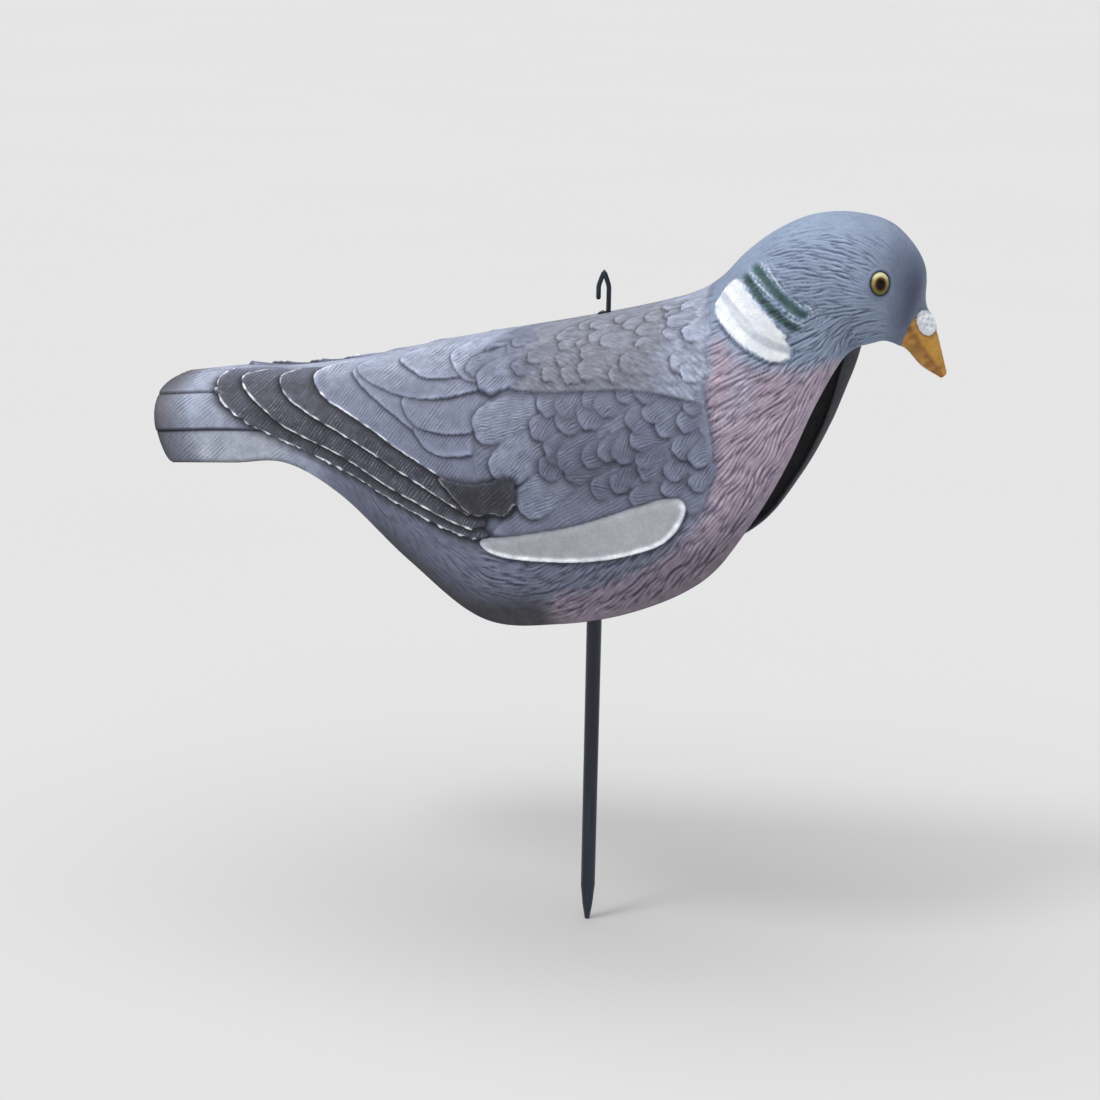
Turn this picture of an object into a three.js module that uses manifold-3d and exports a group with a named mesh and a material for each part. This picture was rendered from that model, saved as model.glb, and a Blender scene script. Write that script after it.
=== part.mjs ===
// Woodpigeon shell decoy on its ground peg, life size.
// The bird is one thin moulding, open underneath, that sits loose on the shoulder of a
// moulded peg. The peg's barbed hook comes out through a slot in the back.
// Millimetres, +Z up, +X towards the beak. The origin is the blunt tip of the peg.
import * as THREE from 'three';
import { mergeVertices } from 'three/addons/utils/BufferGeometryUtils.js';
import Module from 'manifold-3d';

const wasm = await Module();
wasm.setup();

// Driving sizes of the bird
const bodyLength = 394; // tail end to beak tip
const wall = 2; // moulded wall
const rimThickness = 5.6; // rolled bead along the open lower edge
const rimDepth = 5; // how far up the inside the bead reaches
const featherStep = 1.5; // how far a feather tip stands off the next one
const featherRoot = -0.5; // a feather's root starts this far under the skin
const plateDepth = 1.2; // a feather plate is bedded this deep in the wall

// Driving sizes of the peg
const shaftLength = 311; // tip to the top of the shoulder under the back
const shaftTopRadius = 4;
const shaftLowRadius = 3.6;
const tipRadius = 1.3;
const tipTaper = 18;
const shoulderRadius = 6;
const shoulderHeight = 9;
const seatGap = 0.8; // between the shoulder and the inside of the back
const hookRise = 24.5; // apex of the hook above the shoulder
const hookThickness = 2.3;
const hookSpacing = 5.2; // between the middles of its two legs
const hookOffset = 0.8; // middle of the hook ahead of the peg's axis
const barbLength = 8; // free leg, below the arch
const slotSideClearance = 0.55;
const slotEndClearance = 0.9;

// Driving sizes of the eyes
const eyeRadius = 5;
const eyeBulge = 2;
const eyeSeat = 1.5; // depth of the socket
const eyeClearance = 0.3;
const lidRadius = 0.9; // roll of the lid around the socket
const socketFloor = 1.6;

// Sections of the bird, from the tail end to the beak tip, drawn for a bird 394 long.
// Each has its top [x, z] and its lowest point [x, z], both from the point on the back
// where the peg comes out, its half width, where the widest place lies between the low
// point (0) and the back (1), half of the open gap at the rim, and its squareness.
const drawnLength = 394;
const sections = [
  { back: [-220, -45.5], keel: [-212, -84], half: 37, waist: 0.45, gap: 35.5, square: 0.04 },
  { back: [-192, -40.5], keel: [-180, -82], half: 35, waist: 0.45, gap: 33, square: 0.04 },
  { back: [-158, -37.5], keel: [-152, -80], half: 36, waist: 0.45, gap: 33, square: 0.03 },
  { back: [-120, -30], keel: [-121, -93], half: 44, waist: 0.5, gap: 38.5, square: 0 },
  { back: [-83, -20], keel: [-82, -121], half: 54, waist: 0.52, gap: 47, square: 0 },
  { back: [-46, -11], keel: [-42, -145], half: 61, waist: 0.52, gap: 53, square: 0 },
  { back: [-11, -3], keel: [-2, -143], half: 65, waist: 0.52, gap: 57, square: 0 },
  { back: [21, 5], keel: [37, -132], half: 66.5, waist: 0.5, gap: 60, square: 0 },
  { back: [46, 13], keel: [70, -113], half: 65, waist: 0.46, gap: 62, square: 0 },
  { back: [60, 22], keel: [91, -85], half: 61, waist: 0.43, gap: 60, square: 0 },
  { back: [72, 35], keel: [105, -58], half: 53, waist: 0.43, gap: 51.5, square: 0 },
  { back: [86, 46], keel: [115.5, -30], half: 44, waist: 0.46, gap: 40.5, square: 0 },
  { back: [103, 54], keel: [124.5, -10], half: 34, waist: 0.5, gap: 21, square: 0 },
  { back: [123, 56], keel: [131, -7], half: 26, waist: 0.5, gap: 0, square: 0 },
  { back: [142, 51], keel: [140, -4], half: 21.5, waist: 0.5, gap: 0, square: 0 },
  { back: [156, 34], keel: [147, -6], half: 16, waist: 0.5, gap: 0, square: 0 },
  { back: [160, 15], keel: [151, -8], half: 9, waist: 0.5, gap: 0, square: 0 },
  { back: [165, 0], keel: [158, -15], half: 5.5, waist: 0.5, gap: 0, square: 0 },
  { back: [170, -17], keel: [167, -20], half: 1.5, waist: 0.5, gap: 0, square: 0 },
];
const lastStation = sections.length - 1;
const throatStation = 12.75; // the underside is closed from here forward
const sideShare = 0.58; // share of a half section that lies above its widest place
const tailBulge = 2; // roundness of the tail's end wall
const tailBow = 4.5; // how far the tail's end bows back between its top and bottom

// Materials
const finishes = {
  shell: new THREE.MeshStandardMaterial({ color: 0x8790a0, roughness: 0.7, metalness: 0 }),
  peg: new THREE.MeshStandardMaterial({ color: 0x1c212c, roughness: 0.35, metalness: 0 }),
  eye: new THREE.MeshStandardMaterial({ color: 0xb2a050, roughness: 0.12, metalness: 0 }),
};

const bird = bodyLength / drawnLength;

// Small helpers
const clamp = (x, low, high) => Math.min(high, Math.max(low, x));
const mix = (a, b, f) => a + (b - a) * f;

function smooth(x, low, high) {
  const f = clamp((x - low) / (high - low), 0, 1);
  return f * f * (3 - 2 * f);
}

// Value of a smooth curve through evenly spaced numbers; a slope runs on past the ends.
function through(values, at) {
  const i = clamp(Math.floor(at), 0, values.length - 2);
  const f = at - i;
  const p1 = values[i];
  const p2 = values[i + 1];
  const p0 = i > 0 ? values[i - 1] : 2 * p1 - p2;
  const p3 = i + 2 < values.length ? values[i + 2] : 2 * p2 - p1;
  const a = -p0 + p2;
  const b = 2 * p0 - 5 * p1 + 4 * p2 - p3;
  const c = -p0 + 3 * p1 - 3 * p2 + p3;
  return 0.5 * (2 * p1 + a * f + b * f * f + c * f * f * f);
}

const tracks = {
  backX: sections.map((s) => s.back[0]),
  backZ: sections.map((s) => s.back[1]),
  keelX: sections.map((s) => s.keel[0]),
  keelZ: sections.map((s) => s.keel[1]),
  half: sections.map((s) => s.half),
  waist: sections.map((s) => s.waist),
  gap: sections.map((s) => s.gap),
  square: sections.map((s) => s.square),
};

// Where the back crosses the peg's axis, and how high the drawing then stands so that the
// inside of the back clears the shoulder
function seatOfBack() {
  let [low, high] = [0, lastStation];
  while (high - low > 1e-6) {
    const middle = (low + high) / 2;
    if (through(tracks.backX, middle) < 0) low = middle;
    else high = middle;
  }
  const step = 0.01;
  const rise = through(tracks.backZ, low + step) - through(tracks.backZ, low);
  const run = through(tracks.backX, low + step) - through(tracks.backX, low);
  const wallHeight = wall * Math.hypot(1, rise / run);
  return shaftLength + seatGap + wallHeight - bird * through(tracks.backZ, low);
}

const backHeight = seatOfBack();

const halfGap = (t) => (t < throatStation ? Math.max(through(tracks.gap, t), 0) : 0);

// A point of the outer skin. t runs along the bird by stations, v runs round it from the
// back (0) to the rim (1); the bird's right side has v below 0.
function skin(t, v) {
  const half = through(tracks.half, t);
  const waist = through(tracks.waist, t);
  const end = Math.PI - Math.asin(clamp(halfGap(t) / half, 0, 0.97));
  const round = Math.abs(v);
  const angle = round < sideShare
    ? (round / sideShare) * (Math.PI / 2)
    : mix(Math.PI / 2, end, (round - sideShare) / (1 - sideShare));
  const bump = 1 + through(tracks.square, t) * Math.sin(2 * angle) ** 2;
  const up = Math.cos(angle) * bump;
  const below = waist / Math.max(-Math.cos(end), 0.2);
  const rise = up >= 0 ? waist + (1 - waist) * up : waist + below * up;
  const bow = tailBow * 2 * Math.sqrt(Math.max(rise * (1 - rise), 0)) * Math.max(1 - t, 0) ** 2;
  return new THREE.Vector3(
    bird * (mix(through(tracks.keelX, t), through(tracks.backX, t), rise) - bow),
    bird * Math.sign(v) * half * Math.sin(angle) * bump,
    backHeight + bird * mix(through(tracks.keelZ, t), through(tracks.backZ, t), rise),
  );
}

// Directions along and round the skin, and out of it
function skinFrame(t, v) {
  const reach = { t: 0.02, v: 0.004 };
  const [behind, ahead] = [t - reach.t, t + reach.t].map((x) => clamp(x, 0, lastStation));
  const [right, left] = [v - reach.v, v + reach.v].map((x) => clamp(x, -1, 1));
  const along = skin(ahead, v).sub(skin(behind, v)).divideScalar(ahead - behind);
  const round = skin(t, left).sub(skin(t, right)).divideScalar(left - right);
  const normal = new THREE.Vector3().crossVectors(along, round).normalize();
  return { along, round, normal };
}

function skinOffset(t, v, height) {
  return skin(t, v).addScaledVector(skinFrame(t, v).normal, height);
}

// Moves a place on the skin by millimetres: forward, and down the side.
function walk(place, forward, down) {
  const { along, round } = skinFrame(place[0], place[1]);
  const unit = along.clone().normalize();
  const lean = round.dot(unit);
  const across = Math.sqrt(round.lengthSq() - lean * lean);
  const dv = down / across;
  return [place[0] + (forward - dv * lean) / along.length(), place[1] + dv];
}

// Closed surfaces are collected as loose triangles and merged at the end.
class Surface {
  constructor() {
    this.points = [];
  }

  triangle(a, b, c) {
    this.points.push(a, b, c);
  }

  // Quads between neighbouring rows of points
  sheet(rows, flipped = false) {
    for (let i = 0; i + 1 < rows.length; i += 1) {
      for (let j = 0; j + 1 < rows[i].length; j += 1) {
        const corners = [rows[i][j], rows[i + 1][j], rows[i + 1][j + 1], rows[i][j + 1]];
        if (flipped) corners.reverse();
        this.triangle(corners[0], corners[1], corners[2]);
        this.triangle(corners[0], corners[2], corners[3]);
      }
    }
  }

  geometry() {
    return new THREE.BufferGeometry().setFromPoints(this.points);
  }
}

// Six times the volume inside a merged geometry, below 0 when its faces point in
function signedVolume(positions, corners) {
  const at = (i) => new THREE.Vector3().fromArray(positions, 3 * i);
  let sum = 0;
  for (let i = 0; i < corners.length; i += 3) {
    sum += at(corners[i]).dot(at(corners[i + 1]).cross(at(corners[i + 2])));
  }
  return sum;
}

// A closed geometry as a solid that can be joined and cut, with its faces turned out
function solidOf(geometry) {
  const bare = geometry.clone();
  bare.deleteAttribute('normal');
  bare.deleteAttribute('uv');
  const merged = mergeVertices(bare, 1e-3);
  const positions = new Float32Array(merged.attributes.position.array);
  const corners = [];
  const index = merged.index.array;
  for (let i = 0; i < index.length; i += 3) {
    const [a, b, c] = [index[i], index[i + 1], index[i + 2]];
    if (a !== b && b !== c && c !== a) corners.push(a, b, c);
  }
  if (signedVolume(positions, corners) < 0) corners.reverse();
  return new wasm.Manifold(new wasm.Mesh({
    numProp: 3,
    vertProperties: positions,
    triVerts: new Uint32Array(corners),
  }));
}

function geometryOf(solid) {
  const mesh = solid.getMesh();
  const geometry = new THREE.BufferGeometry();
  geometry.setAttribute('position', new THREE.BufferAttribute(mesh.vertProperties, 3));
  geometry.setIndex(new THREE.BufferAttribute(mesh.triVerts, 1));
  geometry.computeVertexNormals();
  return geometry;
}

const evenly = (from, to, count) => (
  Array.from({ length: count + 1 }, (_, i) => mix(from, to, i / count))
);

// Bare shell: an outer and an inner skin, joined along the rim

// The tail's end wall draws in to the middle of the rim's line: shrink 1 is that point.
function endWall(point, centre, shrink) {
  const drawn = point.clone().lerp(centre, shrink);
  drawn.x -= bird * tailBulge * Math.sin(shrink * Math.PI) ** 0.7;
  return drawn;
}

function innerPoint(t, v) {
  const gap = halfGap(t) * bird;
  const fromRim = (1 - Math.abs(v)) * skinFrame(t, v).round.length();
  const bead = smooth(gap, 4, 14) * (1 - smooth(fromRim, 0, rimDepth));
  const point = skinOffset(t, v, -mix(wall, rimThickness, bead));
  const side = Math.sign(v);
  if (Math.abs(v) > sideShare) point.y = side * Math.max(side * point.y, gap * 0.2);
  if (Math.abs(v) === 1 && gap === 0) point.y = 0;
  return point;
}

function bareShell() {
  const outerPlaces = evenly(-1, 1, 26);
  const innerPlaces = [-1, ...evenly(-0.95, 0.95, 10), 1];
  const shrinks = [1, 0.6, 0.25, 0.06];
  const openStations = [
    ...evenly(0, 3, 5),
    ...evenly(3, 9, 14).slice(1),
    ...evenly(9, throatStation, 8).slice(1),
  ];
  const headStations = evenly(throatStation, lastStation, 9).slice(1);
  const hollowEnd = 15.4;
  const hollowStations = evenly(throatStation, hollowEnd, 3).slice(1);
  const innerStart = 0.08; // station where the inside of the end wall lies

  const outerRow = (t) => outerPlaces.map((v) => skin(t, v));
  const innerRow = (t) => innerPlaces.map((v) => innerPoint(Math.max(t, innerStart), v));
  const middle = (row) => row[0].clone().lerp(row[row.length - 1], 0.5);
  const capRows = (row) => (
    shrinks.map((shrink) => row.map((point) => endWall(point, middle(row), shrink)))
  );

  const outerOpen = [...capRows(outerRow(0)), ...openStations.map(outerRow)];
  const innerOpen = [...capRows(innerRow(0)), ...openStations.map(innerRow)];
  const outerHead = [outerOpen.at(-1), ...headStations.map(outerRow)];
  const innerHead = [innerOpen.at(-1), ...hollowStations.map(innerRow)];
  const poleRow = (row) => row.map(() => row.reduce((sum, p) => sum.clone().add(p))
    .divideScalar(row.length));
  outerHead.push(poleRow(outerHead.at(-1)));
  innerHead.push(poleRow(innerHead.at(-1)));

  const surface = new Surface();
  surface.sheet(outerOpen);
  surface.sheet(outerHead);
  surface.sheet(innerOpen, true);
  surface.sheet(innerHead, true);
  const first = outerOpen.map((row, i) => [row[0], innerOpen[i][0]]);
  const last = outerOpen.map((row, i) => [row.at(-1), innerOpen[i].at(-1)]);
  surface.sheet(first, true);
  surface.sheet(last);
  return surface.geometry();
}

// Feathers are faces bedded in the wall. Each row is a list of points given as
// [station, share round, height over the skin]; the rows make a closed slab.
function slab(side, rows) {
  const put = (t, v, height) => skinOffset(clamp(t, 0.01, lastStation), side * v, height);
  const face = rows.map((row) => row.map(([t, v, height]) => put(t, v, height)));
  const bed = rows.map((row) => row.map(([t, v]) => put(t, v, -plateDepth)));
  const surface = new Surface();
  surface.sheet(face);
  surface.sheet(bed, true);
  surface.sheet([face, bed].map((rowsOf) => rowsOf.map((row) => row[0])));
  surface.sheet([face, bed].map((rowsOf) => rowsOf.map((row) => row.at(-1))), true);
  surface.sheet([face[0], bed[0]], true);
  surface.sheet([face.at(-1), bed.at(-1)]);
  return solidOf(surface.geometry());
}

const curve = (places) => new THREE.SplineCurve(places.map((p) => new THREE.Vector2(...p)));

// Overlapping feathers in terraces. lines are their free edges, the lowest feather first,
// and then the line where the last one sinks into the skin; each is a function from 0 to 1.
// A feather's face stands `lift` off the skin at its edge and half sunk where the next starts.
function terraces(side, lines, { along, lift, ground = () => 0, between = () => 1, fade = 0 }) {
  const row = (line, height) => along.map((a) => {
    const [t, v] = line(a);
    return [t, v, mix(featherRoot, height, fade ? smooth(a, 0, fade) : 1) + ground(t, v)];
  });
  const rows = [row(lines[0], lift(0))];
  lines.slice(1).forEach((line, i) => {
    const last = i === lines.length - 2;
    const foot = last ? featherRoot : lift(i) * 0.35;
    for (let step = 1; step < between(i); step += 1) {
      const f = step / between(i);
      const halfway = (a) => line(a).map((x, axis) => mix(lines[i](a)[axis], x, f));
      rows.push(row(halfway, mix(lift(i), foot, f)));
    }
    rows.push(row(line, foot));
    if (!last) rows.push(row(line, lift(i + 1)));
  });
  return slab(side, rows);
}

const asLine = (places) => {
  const path = curve(places);
  return (a) => path.getPoint(a).toArray();
};

// Wing lines, each from its front end to the feather's tip at the rear
const longFeathers = [
  [[4.95, 0.745], [3.9, 0.77], [2.8, 0.79], [2.1, 0.735], [1.45, 0.56], [0.96, 0.34]],
  [[4.9, 0.715], [3.9, 0.715], [2.9, 0.695], [2.3, 0.635], [1.8, 0.5], [1.38, 0.25]],
  [[4.9, 0.68], [4.1, 0.65], [3.4, 0.6], [2.75, 0.54], [2.25, 0.42], [1.95, 0.27]],
  [[5.3, 0.62], [4.3, 0.575], [3.6, 0.53], [3, 0.45], [2.65, 0.34], [2.45, 0.22]],
];
const innerFeathers = [
  [[5.2, 0.5], [4.6, 0.5], [4.1, 0.47], [3.6, 0.39], [3.3, 0.33], [3.02, 0.21]],
  [[5, 0.33], [4.56, 0.36], [4.1, 0.355], [3.6, 0.32], [3.3, 0.27], [3.06, 0.17]],
  [[5, 0.13], [4.5, 0.13], [4, 0.12], [3.6, 0.11], [3.3, 0.1], [3.15, 0.1]],
];

const shortFeathers = [
  [
    [[4.82, 0.24], [4.38, 0.28], [4.04, 0.26], [3.8, 0.22], [3.68, 0.15]],
    [[4.82, 0.1], [4.4, 0.09], [4.05, 0.09], [3.8, 0.1], [3.68, 0.12]],
  ],
  [
    [[5, 0.45], [4.62, 0.46], [4.3, 0.46], [4.1, 0.45], [3.9, 0.38]],
    [[5, 0.37], [4.6, 0.38], [4.3, 0.38], [4.1, 0.37], [3.9, 0.36]],
  ],
  [
    [[5.1, 0.5], [4.76, 0.52], [4.52, 0.53], [4.26, 0.52], [4.16, 0.48]],
    [[5.1, 0.46], [4.8, 0.47], [4.5, 0.47], [4.3, 0.47], [4.16, 0.47]],
  ],
];

const tailLines = [
  [[2.3, 0.65], [1.06, 0.65], [0.02, 0.62]],
  [[2.2, 0.37], [1.16, 0.365], [0.02, 0.31]],
  [[2, 0.05], [1.2, 0.05], [0.02, 0.04]],
];

const wingPatch = [
  [[5.06, 0.755], [5.3, 0.79], [6, 0.808], [6.8, 0.818], [7.5, 0.822], [7.8, 0.79], [7.86, 0.75]],
  [[5.08, 0.745], [5.4, 0.722], [6, 0.72], [6.7, 0.704], [7.35, 0.7], [7.65, 0.71], [7.84, 0.74]],
];

const alula = [
  [[5.55, 0.62], [5.42, 0.66], [5.02, 0.67], [4.75, 0.65], [4.54, 0.62]],
  [[5.5, 0.57], [5.3, 0.58], [4.94, 0.59], [4.7, 0.6], [4.54, 0.61]],
];

const wingFront = [
  [[8.56, 0.54], [8.63, 0.61], [8.52, 0.68], [8.3, 0.74], [8.05, 0.77]],
  [[8, 0.54], [8, 0.61], [7.95, 0.67], [7.85, 0.7], [7.8, 0.72]],
];

const neckBars = [
  [[10.12, 0.23], [10.4, 0.36], [10.78, 0.5], [11.04, 0.6], [11.32, 0.68]],
  [[10.58, 0.29], [10.84, 0.38], [11, 0.45], [11.18, 0.54], [11.44, 0.62]],
];
// The scapular feathers lie over the wing and end in a step along this line.
const scapularLine = {
  stations: [4.82, 5.6, 6.4, 7.2, 8, 8.56],
  shares: [0.25, 0.345, 0.37, 0.41, 0.49, 0.54],
};
const scapularStep = 1.5;

function scapularEdge(t) {
  const { stations, shares } = scapularLine;
  const next = stations.findIndex((station) => station >= t);
  if (next <= 0) return next === 0 ? shares[0] : shares.at(-1);
  const f = (t - stations[next - 1]) / (stations[next] - stations[next - 1]);
  return mix(shares[next - 1], shares[next], f);
}

const onScapulars = (t, v) => scapularStep * smooth(v / scapularEdge(t), 0.3, 0.95);

// The free edges of a row of scale-like feathers. The row passes the station `at` where the
// share round is `level` and leans forward on its way down; aim is how steeply its feathers
// point down, and length how far their tips reach past the notches between them.
function scaleLine({ at, level, lean, from, to, count, length, aim }) {
  return (a) => {
    const v = mix(from, to, a);
    const inFeather = (a * count) % 1;
    const tip = inFeather > 0.1 && inFeather < 0.9 ? length : 0;
    return walk([at + lean * (v - level), v], -tip, tip * Math.tan(aim));
  };
}

// Shares along a row that give each feather its notch and the two corners of its tip
const scaleSteps = (count) => [
  ...Array.from({ length: count }, (_, i) => [0, 0.22, 0.78].map((f) => (i + f) / count)).flat(),
  1,
];

// Coverts: rows from the long feathers at the middle of the wing to its front edge
function coverts(side) {
  const count = 5;
  const lines = [5.04, 5.65, 6.2, 6.7, 7.15, 7.6, 8.05].map((at, i) => scaleLine({
    at, level: 0.43, lean: 3.3, from: scapularEdge(at) - 0.02, to: mix(0.69, 0.62, i / 6),
    count, length: mix(6, 3.5, i / 6), aim: 0.64,
  }));
  return terraces(side, lines, { along: scaleSteps(count), lift: () => featherStep });
}

// Mantle and scapulars: rows of small scales from the middle of the back down to the step
function mantle(side) {
  const count = 5;
  const lines = evenly(5.2, 8.5, 7).map((at) => scaleLine({
    at, level: scapularEdge(at), lean: 1, from: 0.05, to: scapularEdge(at) + 0.012,
    count, length: 4, aim: 0.2,
  }));
  return terraces(side, lines, {
    along: scaleSteps(count), lift: () => featherStep * 0.75, ground: onScapulars,
  });
}

// A raised face that stands off evenly between two lines
function raised(side, [low, high], lift, count, across = [0, 1]) {
  const [from, to] = [asLine(low), asLine(high)];
  return slab(side, across.map((b) => evenly(0, 1, count).map((a) => {
    const place = from(a).map((x, axis) => mix(x, to(a)[axis], b));
    return [...place, lift];
  })));
}

function bar(side, places) {
  const halfWidth = 2.2;
  const middle = asLine(places);
  return slab(side, [-halfWidth, halfWidth].map((offset) => (
    evenly(0, 1, 4).map((a) => [...walk(middle(a), offset, 0), 0.8])
  )));
}

function featherPlates(side) {
  const wing = [...longFeathers, ...innerFeathers].map(asLine);
  const tall = (i) => (i < longFeathers.length ? featherStep * 1.5 : featherStep);
  const even = (lift) => () => lift;
  return [
    terraces(side, tailLines.map(asLine), {
      along: evenly(0, 1, 2), lift: even(featherStep * 0.7), between: () => 2,
    }),
    terraces(side, wing, {
      along: evenly(0, 1, 7), lift: tall, between: (i) => (i < 4 ? 1 : 2), fade: 0.16,
    }),
    ...shortFeathers.map((pair) => terraces(side, pair.map(asLine), {
      along: evenly(0, 1, 3), lift: even(featherStep * 1.2), fade: 0.2,
    })),
    coverts(side),
    mantle(side),
    raised(side, wingPatch, featherStep * 1.4, 7, [0, 0.5, 1]),
    raised(side, alula, featherStep * 1.9, 4),
    terraces(side, wingFront.map(asLine), { along: evenly(0, 1, 4), lift: even(featherStep * 0.7) }),
    ...neckBars.map((places) => bar(side, places)),
  ];
}

// Turns a geometry made about +Z so that it stands on the skin
function standOn(geometry, place, side) {
  const normal = skinFrame(place[0], side * place[1]).normal;
  const turn = new THREE.Quaternion().setFromUnitVectors(new THREE.Vector3(0, 0, 1), normal);
  const origin = skin(place[0], side * place[1]);
  return geometry.clone().applyQuaternion(turn).translate(...origin.toArray());
}

function lathe(profile, segments) {
  const points = profile.map(([r, z]) => new THREE.Vector2(r, z));
  return new THREE.LatheGeometry(points, segments).rotateX(Math.PI / 2);
}

// Eyes: glossy buttons set in round sockets, with a rolled lid around each
const eyePlace = [13.92, 0.55];
const eyeSegments = 16;

function eyeButton() {
  const foot = -eyeSeat + eyeClearance;
  const edge = -0.3;
  const dome = evenly(0, Math.PI / 2, 4).map((angle) => [
    eyeRadius * Math.cos(angle),
    mix(edge, eyeBulge, Math.sin(angle)),
  ]);
  dome[dome.length - 1][0] = 0;
  return lathe([[0, foot], [eyeRadius, foot], ...dome], eyeSegments);
}

function disc(radius, from, to) {
  return lathe([[0, from], [radius, from], [radius, to], [0, to]], eyeSegments);
}

function slotCutter() {
  const half = hookSpacing / 2 + hookThickness / 2 + slotEndClearance;
  const radius = hookThickness / 2 + slotSideClearance;
  const outline = new THREE.Shape();
  outline.absarc(half - radius, 0, radius, -Math.PI / 2, Math.PI / 2, false);
  outline.absarc(radius - half, 0, radius, Math.PI / 2, 1.5 * Math.PI, false);
  const depth = 6 * wall;
  const cutter = new THREE.ExtrudeGeometry(outline, { depth, bevelEnabled: false, curveSegments: 5 });
  return cutter.translate(hookOffset, 0, backHeight - depth / 2);
}

// Two soft lobes over the root of the beak
function cereLobe(side) {
  const lobe = new THREE.SphereGeometry(1, 8, 6).scale(4.4, 3.4, 6.6);
  return lobe.rotateY(0.42).scale(bird, bird, bird)
    .translate(159.5 * bird, side * 2.6 * bird, backHeight + 8.5 * bird);
}

function decoyShell() {
  let shell = solidOf(bareShell());
  for (const side of [-1, 1]) {
    for (const feather of featherPlates(side)) shell = shell.add(feather);
    shell = shell.add(solidOf(cereLobe(side)));
    const boss = disc(eyeRadius + 2, -eyeSeat - socketFloor, -wall / 2);
    const lid = new THREE.TorusGeometry(eyeRadius + 0.9, lidRadius, 5, eyeSegments);
    shell = shell.add(solidOf(standOn(boss, eyePlace, side)));
    shell = shell.add(solidOf(standOn(lid.translate(0, 0, -0.35), eyePlace, side)));
    const socket = disc(eyeRadius + eyeClearance, -eyeSeat, eyeBulge + lidRadius);
    shell = shell.subtract(solidOf(standOn(socket, eyePlace, side)));
  }
  return geometryOf(shell.subtract(solidOf(slotCutter())));
}

// The barbed hook: a pointed arch on two legs, the forward one running down to the shoulder
function hookOutline() {
  const outer = hookSpacing / 2 + hookThickness / 2;
  const inner = hookSpacing / 2 - hookThickness / 2;
  const top = hookRise;
  const springing = top - 8;
  const innerTop = top - 4.5;
  const outline = new THREE.Shape();
  outline.moveTo(inner, -2);
  outline.lineTo(outer, -2);
  outline.lineTo(outer, springing);
  outline.quadraticCurveTo(outer * 0.75, top - 3, 0.35, top);
  outline.lineTo(-0.35, top);
  outline.quadraticCurveTo(-outer * 0.75, top - 3, -outer, springing);
  outline.lineTo(-outer, springing - barbLength);
  outline.lineTo(-inner, springing - barbLength);
  outline.lineTo(-inner, springing);
  outline.quadraticCurveTo(-inner * 0.6, innerTop - 1, 0, innerTop);
  outline.quadraticCurveTo(inner * 0.6, innerTop - 1, inner, springing);
  return outline;
}

function groundPeg() {
  const seat = shaftLength - shoulderHeight;
  const profile = [
    [0, 0], [tipRadius, 0], [shaftLowRadius, tipTaper], [shaftTopRadius, seat],
    [shoulderRadius, seat + shoulderHeight * 0.4], [shoulderRadius, seat + shoulderHeight * 0.6],
    [shoulderRadius * 0.62, shaftLength - 1.1], [shoulderRadius * 0.3, shaftLength - 0.25],
    [0, shaftLength],
  ];
  const hook = new THREE.ExtrudeGeometry(hookOutline(), {
    depth: hookThickness, bevelEnabled: false, curveSegments: 3,
  });
  hook.rotateX(Math.PI / 2).translate(hookOffset, hookThickness / 2, shaftLength);
  return geometryOf(solidOf(lathe(profile, 16)).add(solidOf(hook)));
}

function eyeMesh(name, side) {
  const mesh = new THREE.Mesh(eyeButton(), finishes.eye);
  mesh.name = name;
  mesh.position.copy(skin(eyePlace[0], side * eyePlace[1]));
  const { normal } = skinFrame(eyePlace[0], side * eyePlace[1]);
  mesh.quaternion.setFromUnitVectors(new THREE.Vector3(0, 0, 1), normal);
  return mesh;
}

const shell = new THREE.Mesh(decoyShell(), finishes.shell);
shell.name = 'decoy_shell';
const peg = new THREE.Mesh(groundPeg(), finishes.peg);
peg.name = 'peg';

const decoy = new THREE.Group();
decoy.add(shell, peg, eyeMesh('eye_right', -1), eyeMesh('eye_left', 1));

export default decoy;
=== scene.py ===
import math

import bmesh
import bpy
import numpy as np
from mathutils import Matrix, Vector


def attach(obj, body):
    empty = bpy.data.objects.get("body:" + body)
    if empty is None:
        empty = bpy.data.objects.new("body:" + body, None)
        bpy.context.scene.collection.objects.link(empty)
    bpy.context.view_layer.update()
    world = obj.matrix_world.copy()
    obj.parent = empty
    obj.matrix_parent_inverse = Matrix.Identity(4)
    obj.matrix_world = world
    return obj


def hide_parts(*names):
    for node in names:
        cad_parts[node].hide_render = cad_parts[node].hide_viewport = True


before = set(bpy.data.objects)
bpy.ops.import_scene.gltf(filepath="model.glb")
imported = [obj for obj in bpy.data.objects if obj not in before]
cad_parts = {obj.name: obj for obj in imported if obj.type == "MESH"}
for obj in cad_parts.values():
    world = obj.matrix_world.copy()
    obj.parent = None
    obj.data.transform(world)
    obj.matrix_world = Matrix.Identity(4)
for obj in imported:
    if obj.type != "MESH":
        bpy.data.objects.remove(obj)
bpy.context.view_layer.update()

MM = 0.001
coarser = 1

# Sizes of the moulding and the peg
wall = 2.0
rim_thickness = 5.6
rim_depth = 5.0
shaft_length = 311.0
seat_gap = 0.8
shaft_top_radius = 4.0
shaft_low_radius = 3.6
tip_radius = 1.3
tip_taper = 18.0
shoulder_radius = 6.0
shoulder_height = 9.0
hook_rise = 24.5
hook_thickness = 2.3
hook_spacing = 5.2
hook_offset = 0.8
barb_length = 6.8
eye_radius = 5.0
eye_bulge = 2.0
eye_seat = 1.5
eye_clearance = 0.3
socket_depth = 1.75
beak_end_reach = 1.1

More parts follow.
